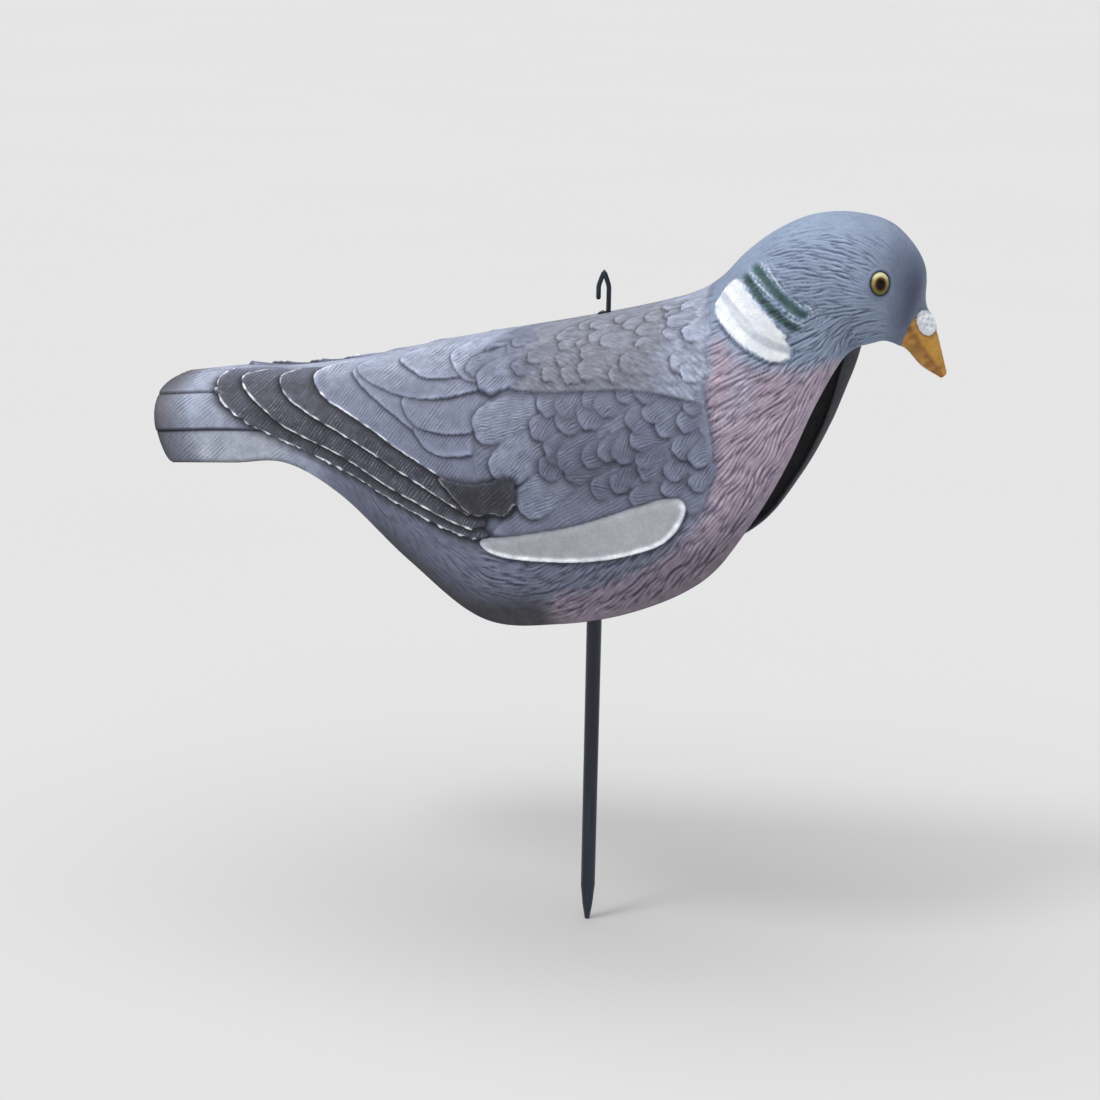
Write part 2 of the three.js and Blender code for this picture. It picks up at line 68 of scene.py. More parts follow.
# Sections of the bird, tail end first: back x and z, lowest x and z, half width, height of
# the widest place, half of the open gap, squareness. Heights are from the peg's slot.
sections = np.array([
    (-220, -45.5, -212, -84, 37, 0.45, 35.5, 0.04),
    (-192, -40.5, -180, -82, 35, 0.45, 33, 0.04),
    (-158, -37.5, -152, -80, 36, 0.45, 33, 0.03),
    (-120, -30, -121, -93, 44, 0.5, 38.5, 0),
    (-83, -20, -82, -121, 54, 0.52, 47, 0),
    (-46, -11, -42, -145, 61, 0.52, 53, 0),
    (-11, -3, -2, -143, 65, 0.52, 57, 0),
    (21, 5, 37, -132, 66.5, 0.5, 60, 0),
    (46, 13, 70, -113, 65, 0.46, 62, 0),
    (60, 22, 91, -85, 61, 0.43, 60, 0),
    (72, 35, 105, -58, 53, 0.43, 51.5, 0),
    (86, 46, 115.5, -30, 44, 0.46, 40.5, 0),
    (103, 54, 124.5, -10, 34, 0.5, 21, 0),
    (123, 56, 131, -7, 26, 0.5, 0, 0),
    (142, 51, 140, -4, 21.5, 0.5, 0, 0),
    (156, 34, 147, -6, 16, 0.5, 0, 0),
    (160, 15, 151, -8, 9, 0.5, 0, 0),
    (165, 0, 158, -15, 5.5, 0.5, 0, 0),
    (170, -17, 167, -20, 1.5, 0.5, 0, 0),
], float).T
back_x, back_z, keel_x, keel_z, half_width, waist_share, open_gap, squareness = sections
last_station = len(back_x) - 1
throat = 12.75
throat_run = 0.47
side_share = 0.58
tail_bulge = 2.0
tail_bow = 4.5
shoulder_station = 9.0
eye_place = (13.92, 0.55)
eye_wide, eye_tall = 0.87, 1.08
cere_place = (16.34, 0.31)
cere_length, cere_width, cere_bulge = 6.2, 3.8, 1.2
cere_hollow = 1.5
beak_root_shares = [0, 0.3, 0.56, 0.68, 0.81, 1]
beak_root_stations = [16.3, 16.05, 15.68, 15.58, 15.38, 15.25]
forehead_rise = 0.6
left_rim_flare = 2.2
covert_spacing = 11.5
scapular_spacing = 10.5
split_station = 4.55

# The grid of the skin: the spacing of its rows, and how many columns a side has
row_spacing, neck_row_spacing, beak_row_spacing = 0.6, 0.62, 0.5
columns_of_a_side = 284
beak_start = 15.4

# The strands of the plumage
strand_pitch, head_strand_pitch = 1.65, 1.6
strand_length = 26
strand_height = 0.95


def mix(a, b, f):
    return a + (b - a) * f


def smooth(x, low, high):
    f = np.clip((x - low) / (high - low), 0, 1)
    return f * f * (3 - 2 * f)


def hump(x, middle, reach):
    return np.exp(-((x - middle) / reach) ** 2)


def curved(p0, p1, p2, p3, f):
    """A share f of the way from p1 to p2, on a smooth curve that also meets p0 and p3"""
    bend = 2 * p0 - 5 * p1 + 4 * p2 - p3
    twist = 3 * p1 - 3 * p2 + p3 - p0
    return 0.5 * (2 * p1 + (p2 - p0) * f + bend * f**2 + twist * f**3)


def run_on(values):
    """The values with one more at each end, where their slope runs on"""
    return np.concatenate([2 * values[:1] - values[1:2], values, 2 * values[-1:] - values[-2:-1]])


def through(values, at):
    """A smooth curve through evenly spaced numbers, whose slope runs on past the ends"""
    start = np.clip(np.floor(at).astype(int), 0, len(values) - 2)
    corners = run_on(values)
    return curved(*(corners[start + k] for k in range(4)), at - start)


def seat_of_back():
    """How high the drawing stands, so that the inside of the back clears the shoulder"""
    stations = np.linspace(0, last_station, 18001)
    across = through(back_x, stations)
    rises = through(back_z, stations)
    slot = np.argmax(across > 0)
    slope = (rises[slot + 1] - rises[slot - 1]) / (across[slot + 1] - across[slot - 1])
    return shaft_length + seat_gap + wall * math.hypot(1, slope) - rises[slot]


back_height = seat_of_back()


def half_gap(t):
    """Half the width of the opening underneath, which closes at the throat"""
    closing = np.sqrt(np.clip((throat - t) / throat_run, 0, 1))
    return np.clip(through(open_gap, t), 0, None) * closing


def skin(t, v):
    """Points of the bare outer skin; the bird's right side has v below 0"""
    t, v = np.broadcast_arrays(np.asarray(t, float), np.asarray(v, float))
    half = through(half_width, t)
    waist = through(waist_share, t)
    end = math.pi - np.arcsin(np.clip(half_gap(t) / half, 0, 0.97))
    turn = np.abs(v)
    upper = turn / side_share * (math.pi / 2)
    lower = mix(math.pi / 2, end, (turn - side_share) / (1 - side_share))
    angle = np.where(turn < side_share, upper, lower)
    bump = 1 + through(squareness, t) * np.sin(2 * angle) ** 2
    up = np.cos(angle) * bump
    below = waist / np.maximum(-np.cos(end), 0.2)
    rise = np.where(up >= 0, waist + (1 - waist) * up, waist + below * up)
    bow = tail_bow * 2 * np.sqrt(np.maximum(rise * (1 - rise), 0)) * np.maximum(1 - t, 0) ** 2
    return np.stack([
        mix(through(keel_x, t), through(back_x, t), rise) - bow,
        np.sign(v) * half * np.sin(angle) * bump,
        back_height + mix(through(keel_z, t), through(back_z, t), rise),
    ], axis=-1)


def unit(vectors):
    length = np.linalg.norm(vectors, axis=-1, keepdims=True)
    return vectors / np.maximum(length, 1e-9)


def skin_frame(t, v):
    """Directions along and round the skin, and out of it"""
    reach_t, reach_v = 0.02, 0.004
    behind, ahead = np.clip(t - reach_t, 0, last_station), np.clip(t + reach_t, 0, last_station)
    right, left = np.clip(v - reach_v, -1, 1), np.clip(v + reach_v, -1, 1)
    along = (skin(ahead, v) - skin(behind, v)) / (ahead - behind)[..., None]
    around = (skin(t, left) - skin(t, right)) / (left - right)[..., None]
    return along, around, unit(np.cross(along, around))


# The grid of places on one side. Rows are evenly spread along the bird, and a row falls
# exactly on the shoulders and on the throat, where pieces meet.
def spread(first, last, spacing):
    fine = np.linspace(first, last, 1200)
    steps = np.linalg.norm(np.diff(skin(fine, 0.5), axis=0), axis=1)
    length = np.concatenate([[0], np.cumsum(steps)])
    count = max(int(round(length[-1] / (spacing * coarser))), 4)
    return np.interp(np.linspace(0, length[-1], count + 1), length, fine)


body_rows = spread(0, shoulder_station, row_spacing)
neck_rows = spread(shoulder_station, throat, neck_row_spacing)
face_rows = spread(throat, beak_start, row_spacing)
beak_rows = spread(beak_start, last_station, beak_row_spacing)
rows = np.concatenate([body_rows, neck_rows[1:], face_rows[1:], beak_rows[1:]])
shoulder_row = len(body_rows) - 1
throat_row = shoulder_row + len(neck_rows) - 1
columns = int(columns_of_a_side / coarser)
places_round = np.linspace(0, 1, columns + 1)
T, V = np.meshgrid(rows, places_round, indexing="ij")
POINTS = skin(T, V)
POINTS[:, 0, 1] = 0
_along, _around, NORMALS = skin_frame(T, V)
NORMALS[:, 0, 1] = 0
NORMALS[throat_row:, -1, 1] = 0
NORMALS = unit(NORMALS)
FORWARD = unit(_along)
DOWN = unit(_around - (_around * FORWARD).sum(-1, keepdims=True) * FORWARD)
SLANT = (unit(_around) * FORWARD).sum(-1).clip(-0.95, 0.95)
STEP_ALONG = np.linalg.norm(np.gradient(POINTS, axis=0), axis=-1) + 1e-6
STEP_ROUND = np.linalg.norm(np.gradient(POINTS, axis=1), axis=-1) + 1e-6
ROUND_LENGTH = np.cumsum(STEP_ROUND, axis=1)
FROM_RIM = ROUND_LENGTH[:, -1:] - ROUND_LENGTH
everywhere = (slice(None), slice(None))


def dab(t, reach_t, v, reach_v):
    """A soft spot on the grid round a place"""
    return np.exp(-((T - t) / reach_t) ** 2 - ((V - v) / reach_v) ** 2)


def ripple(points, size, seed, count=7):
    """A soft, uneven swell through space, about -1 to 1, whose waves are near size long"""
    draw = np.random.default_rng(seed)
    total = np.zeros(points.shape[:-1])
    for _ in range(count):
        direction = unit(draw.normal(size=3))
        length = size * draw.uniform(0.7, 1.5)
        total += np.sin(points @ direction * (2 * math.pi / length) + draw.uniform(0, 6.28))
    return total / math.sqrt(count)


def swell(spots):
    """A field on the grid that follows (t, v, value) spots, each with its own weight"""
    total = np.zeros(T.shape)
    weights = np.full(T.shape, 1e-6)
    for t, v, value in spots:
        weight = dab(t, 0.85, v, 0.15)
        total += weight * value
        weights += weight
    return total / weights


def lie(slopes):
    """Turns from straight back that make strands rise by these slopes, seen from the side"""
    slopes = np.radians(slopes)
    axis = np.stack([-np.cos(slopes), np.zeros(T.shape), -np.sin(slopes)], axis=-1)
    return np.arctan2((axis * DOWN).sum(-1), -(axis * FORWARD).sum(-1))


def barb_lines(points, slope, pitch):
    """Turns of a fine ridge pattern whose lines rise by a slope, seen from the side"""
    slope = math.radians(slope)
    across = np.array([math.sin(slope), 0, -math.cos(slope)])
    return points @ across / pitch


def grid_place(t, v):
    """The row and column of the grid nearest to a place"""
    row = int(np.clip(np.searchsorted(rows, t), 0, len(rows) - 1))
    return row, int(np.clip(round(v * columns), 0, columns))


def on_grid(i, j):
    return 0 <= i < len(rows) - 1 and 0 <= j < columns


def window_of(i, j, reach):
    """The part of the grid within reach of one of its points"""
    high = int(reach / STEP_ALONG[i, j]) + 2
    wide = int(reach / STEP_ROUND[i, j]) + 2
    return (slice(max(i - high, 0), i + high + 1), slice(max(j - wide, 0), j + wide + 1))


def smooth_path(places, count=6, closed=False):
    """A curve through places, with count steps between two of them"""
    places = np.array(places, float)
    if closed:
        corners = np.concatenate([places[-1:], places, places[:2]])
    else:
        corners = run_on(places)
    path = [curved(*corners[i:i + 4], f)
            for i in range(len(corners) - 3) for f in np.arange(count) / count]
    if not closed:
        path.append(places[-1])
    return np.array(path)


def near_path(path, window=everywhere):
    """Distance from each grid point to a path on the skin, and the length run to there"""
    corners = skin(path[:, 0], path[:, 1])
    points = POINTS[window]
    best = np.full(points.shape[:2], 1e9)
    run = np.zeros(points.shape[:2])
    length = 0.0
    for a, b in zip(corners[:-1], corners[1:]):
        span = b - a
        size = float(span @ span) or 1e-9
        f = np.clip(((points - a) @ span) / size, 0, 1)
        gap = np.linalg.norm(points - a - f[..., None] * span, axis=-1)
        closer = gap < best
        best = np.where(closer, gap, best)
        run = np.where(closer, length + f * math.sqrt(size), run)
        length += math.sqrt(size)
    return best, run


def encloses(path, window=everywhere):
    """Which grid places lie inside a closed path"""
    t, v = T[window], V[window]
    inside = np.zeros(t.shape, bool)
    for (t0, v0), (t1, v1) in zip(path, np.roll(path, -1, axis=0)):
        if v0 == v1:
            continue
        crosses = (v0 > v) != (v1 > v)
        inside ^= crosses & (t < t0 + (v - v0) * (t1 - t0) / (v1 - v0))
    return inside


def window_round(path, margin=8.0):
    """The part of the grid round a path"""
    low, high = path.min(axis=0), path.max(axis=0)
    first, last = grid_place(low[0], low[1]), grid_place(high[0], high[1])
    extra_rows = int(margin / np.median(STEP_ALONG)) + 1
    extra = int(margin / np.median(STEP_ROUND)) + 1
    return (slice(max(first[0] - extra_rows, 0), last[0] + extra_rows),
            slice(max(first[1] - extra, 0), last[1] + extra))


def depth_in(path, window=everywhere):
    """Distance within the border of a closed path, below 0 outside it"""
    gap, _ = near_path(np.concatenate([path, path[:1]]), window)
    return np.where(encloses(path, window), gap, -gap)


def region(places, blur):
    """How much each grid place belongs to an area with a soft border"""
    return smooth(depth_in(smooth_path(places, 5, closed=True)), -blur, blur)


# Paint coats, each a mask on the grid
coats = (
    "slate", "rosy", "mantle", "pale", "dark", "soot", "edge_shadow_and_dark_paint", "green", "white", "enamel", "beak",
    "horn", "lores", "dark_airbrush_and_shade", "crease_shade_and_tone", "light", "dry", "barb_depth",
)

# Lines of the wing, each feather's free edge from its tip forward, then the rest of its
# outline, which later feathers cover
long_feathers = [
    ([(1.1, 0.12), (0.95, 0.25), (1.1, 0.43), (1.75, 0.67), (2.5, 0.78), (3.8, 0.77), (5, 0.745)],
     [(5, 0.7), (3, 0.4), (1.8, 0.05), (1.35, 0.06)]),
    ([(1.65, 0.13), (1.35, 0.22), (1.6, 0.4), (2.35, 0.64), (3.45, 0.715), (4.95, 0.72)],
     [(5, 0.65), (3, 0.3), (2, 0.12)]),
    ([(2.2, 0.13), (1.95, 0.22), (2.2, 0.4), (2.9, 0.55), (3.85, 0.63), (4.9, 0.68)],
     [(5, 0.62), (3.4, 0.28), (2.5, 0.12)]),
]
pale_feathers = [
    ([(2.85, 0.07), (2.45, 0.2), (2.8, 0.4), (3.8, 0.54), (4.6, 0.6), (5.5, 0.66)],
     [(5.7, 0.5), (4.6, 0.3), (3.6, 0.06)]),
    ([(3.4, 0.08), (3, 0.19), (3.35, 0.34), (3.95, 0.45), (4.6, 0.53)],
     [(5.3, 0.4), (4.6, 0.2), (3.8, 0.05)]),
    ([(4.2, 0.43), (4.15, 0.48), (4.5, 0.53), (5.5, 0.47)],
     [(5.5, 0.4), (4.5, 0.38)]),
    ([(4, 0.33), (3.9, 0.38), (4.15, 0.455), (4.65, 0.46), (5.4, 0.42)],
     [(5.4, 0.33), (4.3, 0.28)]),
    ([(3.3, 0.1), (3.05, 0.18), (3.4, 0.3), (4.15, 0.36), (5.3, 0.3)],
     [(5.4, 0.1), (3.7, 0.03)]),
    ([(3.9, 0.08), (3.65, 0.16), (4.05, 0.265), (4.4, 0.28), (5.2, 0.25)],
     [(5.4, 0.1), (4.2, 0.03)]),
    ([(4.6, 0.1), (4.4, 0.18), (4.75, 0.29), (5.4, 0.3)],
     [(5.5, 0.14), (4.8, 0.05)]),
]
alula_feather = (
    [(4.5, 0.6), (4.85, 0.665), (5.05, 0.675), (5.25, 0.665), (5.4, 0.67), (5.55, 0.64)],
    [(5.5, 0.57), (5, 0.59)],
)
patch_low = [(5.05, 0.745), (5.2, 0.78), (6.1, 0.812), (7.1, 0.824), (7.6, 0.81), (7.9, 0.745)]
patch_high = [(7.75, 0.69), (7.2, 0.685), (6.2, 0.715), (5.35, 0.73)]
scapular_stations = [4.6, 5.2, 5.8, 6.5, 7.1, 7.7, 8.3, 8.8]
scapular_shares = [0.16, 0.3, 0.345, 0.36, 0.375, 0.405, 0.45, 0.48]
neck_patch = [
    (9.85, 0.2), (9.3, 0.19), (9.08, 0.24), (9.4, 0.34), (9.75, 0.43), (10.2, 0.535),
    (10.65, 0.655), (10.93, 0.68), (10.75, 0.51), (10.25, 0.31),
]
patch_groove = [(9.04, 0.24), (9.37, 0.345), (9.72, 0.437), (10.35, 0.585), (10.65, 0.67)]
green_bars = [
    [(10.05, 0.19), (10.45, 0.345), (10.75, 0.455), (11.25, 0.64)],
    [(10.4, 0.2), (10.84, 0.37), (11.1, 0.47), (11.47, 0.61)],
]
wing_area = [
    (8.5, 0.3), (8.6, 0.6), (8.4, 0.7), (8.05, 0.775), (7, 0.8), (5.5, 0.78), (4, 0.76),
    (2.4, 0.74), (1.4, 0.5), (1.2, 0.1), (2, -0.1), (8.3, -0.1),
]
covert_area = [
    (5, 0.36), (5, 0.55), (5.4, 0.66), (5.25, 0.725), (6, 0.725), (7.6, 0.7), (8, 0.77),
    (8.3, 0.745), (8.6, 0.6), (8.45, 0.4), (7, 0.3), (5.5, 0.28),
]
slate_area = [
    (8.8, 0.3), (8.9, 0.6), (9.2, 0.8), (9.6, 1.1), (1.5, 1.1), (2.6, 0.7), (4, 0.3),
    (4.4, -0.1), (8.5, -0.1),
]
rosy_breast = [
    (9.2, 0.35), (9.7, 0.46), (10.3, 0.6), (10.7, 0.71), (11.1, 0.82), (11.7, 1.04), (8, 1.1),
    (6.2, 1.12), (5.7, 1), (6, 0.915), (7.1, 0.885), (7.9, 0.82), (8.3, 0.76), (8.6, 0.6),
    (8.6, 0.5), (8.9, 0.33),
]
dark_belly = [(3.6, 0.98), (4.6, 0.95), (5.5, 0.915), (5.85, 0.95), (5.8, 1.1), (3.6, 1.1)]

# How steeply the strands of the plumage rise towards the head, seen from the side, in degrees
strand_slopes = [
    (3.2, 0.8, -45), (4.8, 0.85, -60), (5.2, 0.97, -40), (5.6, 0.85, 48), (6.1, 0.93, 38),
    (6.8, 0.87, 55), (8, 0.92, 50), (9.2, 0.5, 38), (9.4, 0.9, 60), (10, 0.15, 34),
    (10.6, 0.62, 30), (10.8, 0.9, 55), (11.6, 0.4, 10), (11.8, 0.75, 15), (12.2, 0.15, 4),
    (12.2, 0.95, 38), (12.8, 0.6, -4), (13.4, 0.42, -28), (13.8, 0.85, 8),
]


class Flank:
    """Relief over the skin and paint masks of one side"""

    def __init__(self, seed):
        self.draw = np.random.default_rng(seed)
        self.seed = seed
        self.height = np.zeros(T.shape)
        self.paint = {name: np.zeros(T.shape) for name in coats}
        self.wave = ripple(POINTS, 14, seed + 1)
        self.wave += 0.9 * ripple(POINTS, 6, seed + 2) * smooth(T, 9.6, 11.4)
        self.barb = np.zeros(T.shape)

    def at_least(self, name, value, window=everywhere):
        """Brings a coat up to a value wherever it is thinner"""
        mask = self.paint[name]
        mask[window] = np.maximum(mask[window], value)

    def cover(self, height, paint, amount, window=everywhere):
        """Lays a height and its coats over what is there, by an amount from 0 to 1"""
        self.height[window] = mix(self.height[window], height, amount)
        for name, mask in self.paint.items():
            mask[window] = mix(mask[window], paint.get(name, 0), amount)

    def around(self, t, v, reach, aim):
        """The grid near a place, with distances along and across an axis that points
        backwards and turns down by aim"""
        i, j = grid_place(t, v)
        window = window_of(i, j, reach)
        axis = DOWN[i, j] * math.sin(aim) - FORWARD[i, j] * math.cos(aim)
        across = DOWN[i, j] * math.cos(aim) + FORWARD[i, j] * math.sin(aim)
        offset = POINTS[window] - POINTS[i, j]
        return window, offset @ axis, offset @ across

    def comb(self, amount, turn, pitch, length, sway=0.16):
        """Wavy strands that lie side by side over an area, from 0 in the grooves to 1"""
        pitches = np.broadcast_to(pitch, T.shape)
        pitch = float(pitches.max())
        aim = turn + sway * self.wave
        upright = np.sqrt(1 - SLANT**2)
        down, back = np.sin(aim), -np.cos(aim)
        go = ((back - down * SLANT / upright) / STEP_ALONG, down / upright / STEP_ROUND)
        aside = ((down + back * SLANT / upright) / STEP_ALONG, -back / upright / STEP_ROUND)
        field = np.zeros(T.shape)
        gap = np.full(T.shape, 3 * pitch)
        step = 0.5 * coarser

        def run_from(i, j, way, reach):
            places = []
            while reach > 0:
                at = int(i), int(j)
                i, j = i + way * step * go[0][at], j + way * step * go[1][at]
                at = int(i), int(j)
                if not on_grid(i, j) or gap[at] < 0.55 * pitches[at] or amount[at] < 0.05:
                    break
                places.append((i, j))
                reach -= step
            return places

        starts = np.argwhere(amount > 0.1)
        starts = starts[self.draw.permutation(len(starts))[:len(starts) // 3]]
        waiting = []
        turn_of = 0
        while turn_of < len(starts):
            if waiting:
                i, j = waiting.pop(0)
            else:
                i, j = starts[turn_of]
                turn_of += 1
            at = int(i), int(j)
            if not on_grid(i, j) or gap[at] < 0.92 * pitches[at] or amount[at] < 0.1:
                continue
            reach = length * self.draw.uniform(0.2, 0.8, 2)
            before = run_from(i, j, -1, reach[0])
            line = [*before[::-1], (i, j), *run_from(i, j, 1, reach[1])]
            if len(line) * step < 2.2 * pitches[at]:
                continue
            strength = self.draw.uniform(0.6, 1)
            for k, (i, j) in enumerate(line):
                ease = min(k * step / 4 + 0.15, (len(line) - k) * step / 5, 1)
                i0, j0 = int(i), int(j)
                fi, fj = i - i0, j - j0
                point = mix(mix(POINTS[i0, j0], POINTS[i0 + 1, j0], fi),
                            mix(POINTS[i0, j0 + 1], POINTS[i0 + 1, j0 + 1], fi), fj)
                local = pitches[i0, j0]
                window = window_of(i0, j0, 1.1 * local)
                offset = POINTS[window] - point
                near = np.sqrt((offset * offset).sum(-1))
                gap[window] = np.minimum(gap[window], near)
                half = local * (0.3 + 0.28 * ease)
                body = strength * ease**0.5 * np.sqrt(np.clip(1 - (near / half) ** 2, 0, 1))
                field[window] = np.maximum(field[window], body)
                if k % max(int(3.5 / step), 1) == 0:
                    for way in (-1, 1):
                        waiting.append((i + way * local * aside[0][i0, j0],
                                        j + way * local * aside[1][i0, j0]))
        return field

    def lay(self, window, inside, top, paint, shade=0.8, cut=0.35, under_shadow=0.0, reach=2.2,
            barb=None):
        """Lays a feather over what is there; inside is the distance within its outline"""
        self.cover(top, paint, smooth(inside, -cut, cut), window)
        outside = np.minimum(inside, 0)
        # Painted shade in a thin line just outside the feather's outline
        self.at_least("crease_shade_and_tone", shade * (hump(outside, 0, 0.75) * (inside < 0)), window)
        for name in ("barb_depth", "dry"):
            self.paint[name][window] *= 1 - hump(inside, 0, 0.7)
        # A wider painted shadow under the feather's edge, on what it overlaps
        if np.any(under_shadow):
            self.at_least("edge_shadow_and_dark_paint", under_shadow * hump(outside, 0, reach) * (inside < 0), window)
        if barb is not None:
            self.barb[window] = np.where(inside > 0, barb, self.barb[window])

    def ridges(self, window, barb):
        """The relief of a feather's barbs, 0 on the ridges and 1 in the grooves"""
        worn = np.clip(0.75 + 0.4 * ripple(POINTS[window], 8, self.seed + 61), 0.2, 1)
        return (0.5 - 0.5 * np.sin(2 * math.pi * barb)) * worn

    def scale(self, t, v, aim, length, width, lift, ground, paint, pitch=1.7, depth=0.6,
              shade=0.7, under_shadow=0.0):
        """One short overlapping feather; its tip is at the place"""
        window, u, w = self.around(t, v, math.hypot(length, width / 2) + 2, aim)
        half = width / 2
        tip = min(0.6 * length, 1.1 * half)
        ragged = 0.35 * ripple(POINTS[window], 5, self.seed + 60)
        bend = (np.maximum((u + tip) / tip, 0) ** 2.4 + np.abs(w / half) ** 2.4) ** (1 / 2.4)
        inside = np.minimum((1 - bend) * min(tip, half), u + length) + ragged
        rise = smooth(u, -0.8 * length, 0)
        crown = 0.35 * lift * np.clip(1 - (w / half) ** 2, 0, 1)
        top = ground[window] + (lift + crown) * rise - 0.35 * lift * np.exp(-inside.clip(0) / 0.9)
        lean = self.draw.normal(0.05, 0.25)
        fan = (w * math.cos(lean) + u * math.sin(lean)) * (1 - 0.22 * u / length)
        swerve = 0.25 * ripple(POINTS[window], 6, self.seed + 66)
        barb = fan / pitch + self.draw.uniform(0, 5) + swerve
        near = smooth(inside, 0.5, 2.2)
        top -= 0.14 * depth * self.ridges(window, barb) * near
        toward = smooth(u, -1.3 * tip, -0.1 * tip)
        paint = {**paint, "barb_depth": depth * near, "dry": 0.25 * depth * near}
        self.lay(window, inside, top, paint, shade * toward, cut=0.5, under_shadow=under_shadow * toward,
                 barb=barb)

    def feather(self, edge, rest, lift, spread_in, root, paint, slope, pitch=1.6, depth=0.8,
                bright=0.0, brushed=0.25, ragged=0.25, under_shadow=0.0, reach=2.2, corners=10):
        """One long feather: its free edge stands off, and its face sinks away from it"""
        free = smooth_path(edge, corners)
        hidden = smooth_path([edge[-1], *rest, edge[0]], 4)
        path = np.concatenate([free, hidden[1:-1]])
        window = window_round(path)
        points = POINTS[window]
        gap, _ = near_path(free, window)
        far, _ = near_path(hidden, window)
        within = encloses(path, window)
        inside = np.where(within, np.minimum(gap, far), -np.minimum(gap, far))
        inside = inside + ragged * ripple(points, 3.5, self.seed + 62)
        top = root + (lift - root) * np.exp(-gap / spread_in) - 0.3 * np.exp(-gap / 0.6)
        bend = 0.6 * ripple(points, 32, self.seed + 64) + 0.1 * ripple(points, 7, self.seed + 65)
        barb = barb_lines(points, slope, pitch) + bend
        patchy = np.clip(0.65 + 0.5 * ripple(points, 13, self.seed + 63), 0.15, 1)
        near = smooth(inside, 0.5, 1.8) * patchy
        top -= 0.2 * depth * self.ridges(window, barb) * near
        worn = np.clip(0.72 + 0.4 * ripple(points, 5, self.seed + 9), 0.1, 1)
        rim = bright * hump(gap, 0.45, 0.75) * worn
        here = {name: value[window] if np.ndim(value) else value for name, value in paint.items()}
        paint = {**here, "white": rim, "barb_depth": depth * near, "dry": brushed * near}
        self.lay(window, inside, top, paint, 0.9, under_shadow=under_shadow, reach=reach, barb=barb)

    def plumage(self):
        """Strands over the head, neck, breast and belly"""
        amount = smooth(T, 1.8, 3.4) * smooth(V, 0.03, 0.14)
        amount *= 1 - smooth(T, 14.4, 15.2)
        crown = smooth(T, 11.2, 12.6) * (1 - smooth(V, 0.16, 0.36))
        nape = smooth(T, 8.6, 9.4) * (1 - smooth(T, 10, 12)) * (1 - smooth(V, 0.16, 0.3))
        amount *= (1 - 0.95 * crown) * (1 - 0.85 * nape)
        amount *= np.where(T < throat, smooth(FROM_RIM, 1, 5), 1)
        face = dab(14.5, 0.75, 0.52, 0.3)
        amount *= 1 - 0.97 * np.clip(1.5 * face, 0, 1)
        amount *= 1 - 0.75 * region(dark_belly, 7)
        rear = (1 - smooth(T, 4.4, 5.4)) * smooth(V, 0.7, 0.8)
        amount *= 1 - 0.45 * rear
        wing = region(wing_area, 2.5)
        amount *= 1 - wing
        banded, _ = near_path(smooth_path(green_bars[1], 6))
        amount *= 1 - 0.9 * (1 - smooth(banded, 1.5, 4)) * (1 - region(neck_patch, 2))
        pitches = mix(strand_pitch, head_strand_pitch, smooth(T, 10.8, 12.4))
        field = self.comb(amount, lie(swell(strand_slopes)), pitches, strand_length)
        self.height += (field - 0.7) * strand_height * amount
        self.paint["slate"] = region(slate_area, 6)
        bare = (1 - amount.clip(0, 1)) * (1 - wing) * smooth(T, 8.4, 9.2) * (T < 15.2)
        pits = smooth(ripple(POINTS, 1.7, self.seed + 20), 0.6, 1.7)
        self.height -= 0.12 * pits * bare

    def coat_regions(self):
        """The large soft areas of paint under the feathers"""
        paint = self.paint
        paint["rosy"] = region(rosy_breast, 9) * (0.92 + 0.08 * ripple(POINTS, 18, 5))
        paint["soot"] = region(dark_belly, 13)
        collar = 0.45 * hump(T, 9.6, 0.8) * hump(V, 0.52, 0.14)
        paint["pale"] = 0.9 * (1 - smooth(T, 2.2, 3.2)) + collar
        ridge = (1 - smooth(V, 0.1, 0.2)) * (1 - smooth(T, 4.6, 5.6))
        self.at_least("pale", 0.95 * ridge)
        paint["lores"] = 0.2 + 0.6 * dab(15.1, 0.9, 0.42, 0.5) * (T > 13)
        # Darker low on the flanks: partly the decoy's darker airbrushed paint, partly painted
        # shade for the little light that reaches the underside
        low = smooth(V, 0.74, 0.98) * smooth(T, 2.4, 3.8) * (1 - smooth(T, 7.4, 9.8))
        under = smooth(V, 0.8, 0.98) * smooth(T, 6.4, 8) * (1 - smooth(T, 9, 11.2))
        paint["dark_airbrush_and_shade"] = np.clip(0.85 * low + 0.5 * under, 0, 1)

    def tail(self):
        """Three overlapping feathers on each side of the tail and its dark end"""
        lines = [
            ([(0, 0.62), (0.9, 0.625), (1.6, 0.645), (2.3, 0.66)], 1.2, 0.9),
            ([(0, 0.3), (0.6, 0.315), (1.16, 0.33), (2.2, 0.36)], 0.9, 0.6),
            ([(0, 0.05), (0.8, 0.055), (1.5, 0.05), (2.2, 0.04)], 0.7, 0.5),
        ]
        window = (slice(0, grid_place(2.6, 0)[0]), slice(0, columns + 1))
        t, v = T[window], V[window]
        from_edge = np.full(t.shape, 9.0)
        for line, lift, edge_shadow_and_dark_paint in lines:
            edge = smooth_path(line, 6)
            gap, _ = near_path(edge, window)
            above = v < np.interp(t, edge[:, 0], edge[:, 1])
            self.height[window] = np.where(above, lift * np.exp(-gap / 9), self.height[window])
            groove = hump(gap, 0.2, 0.75)
            self.height[window] -= 0.5 * groove
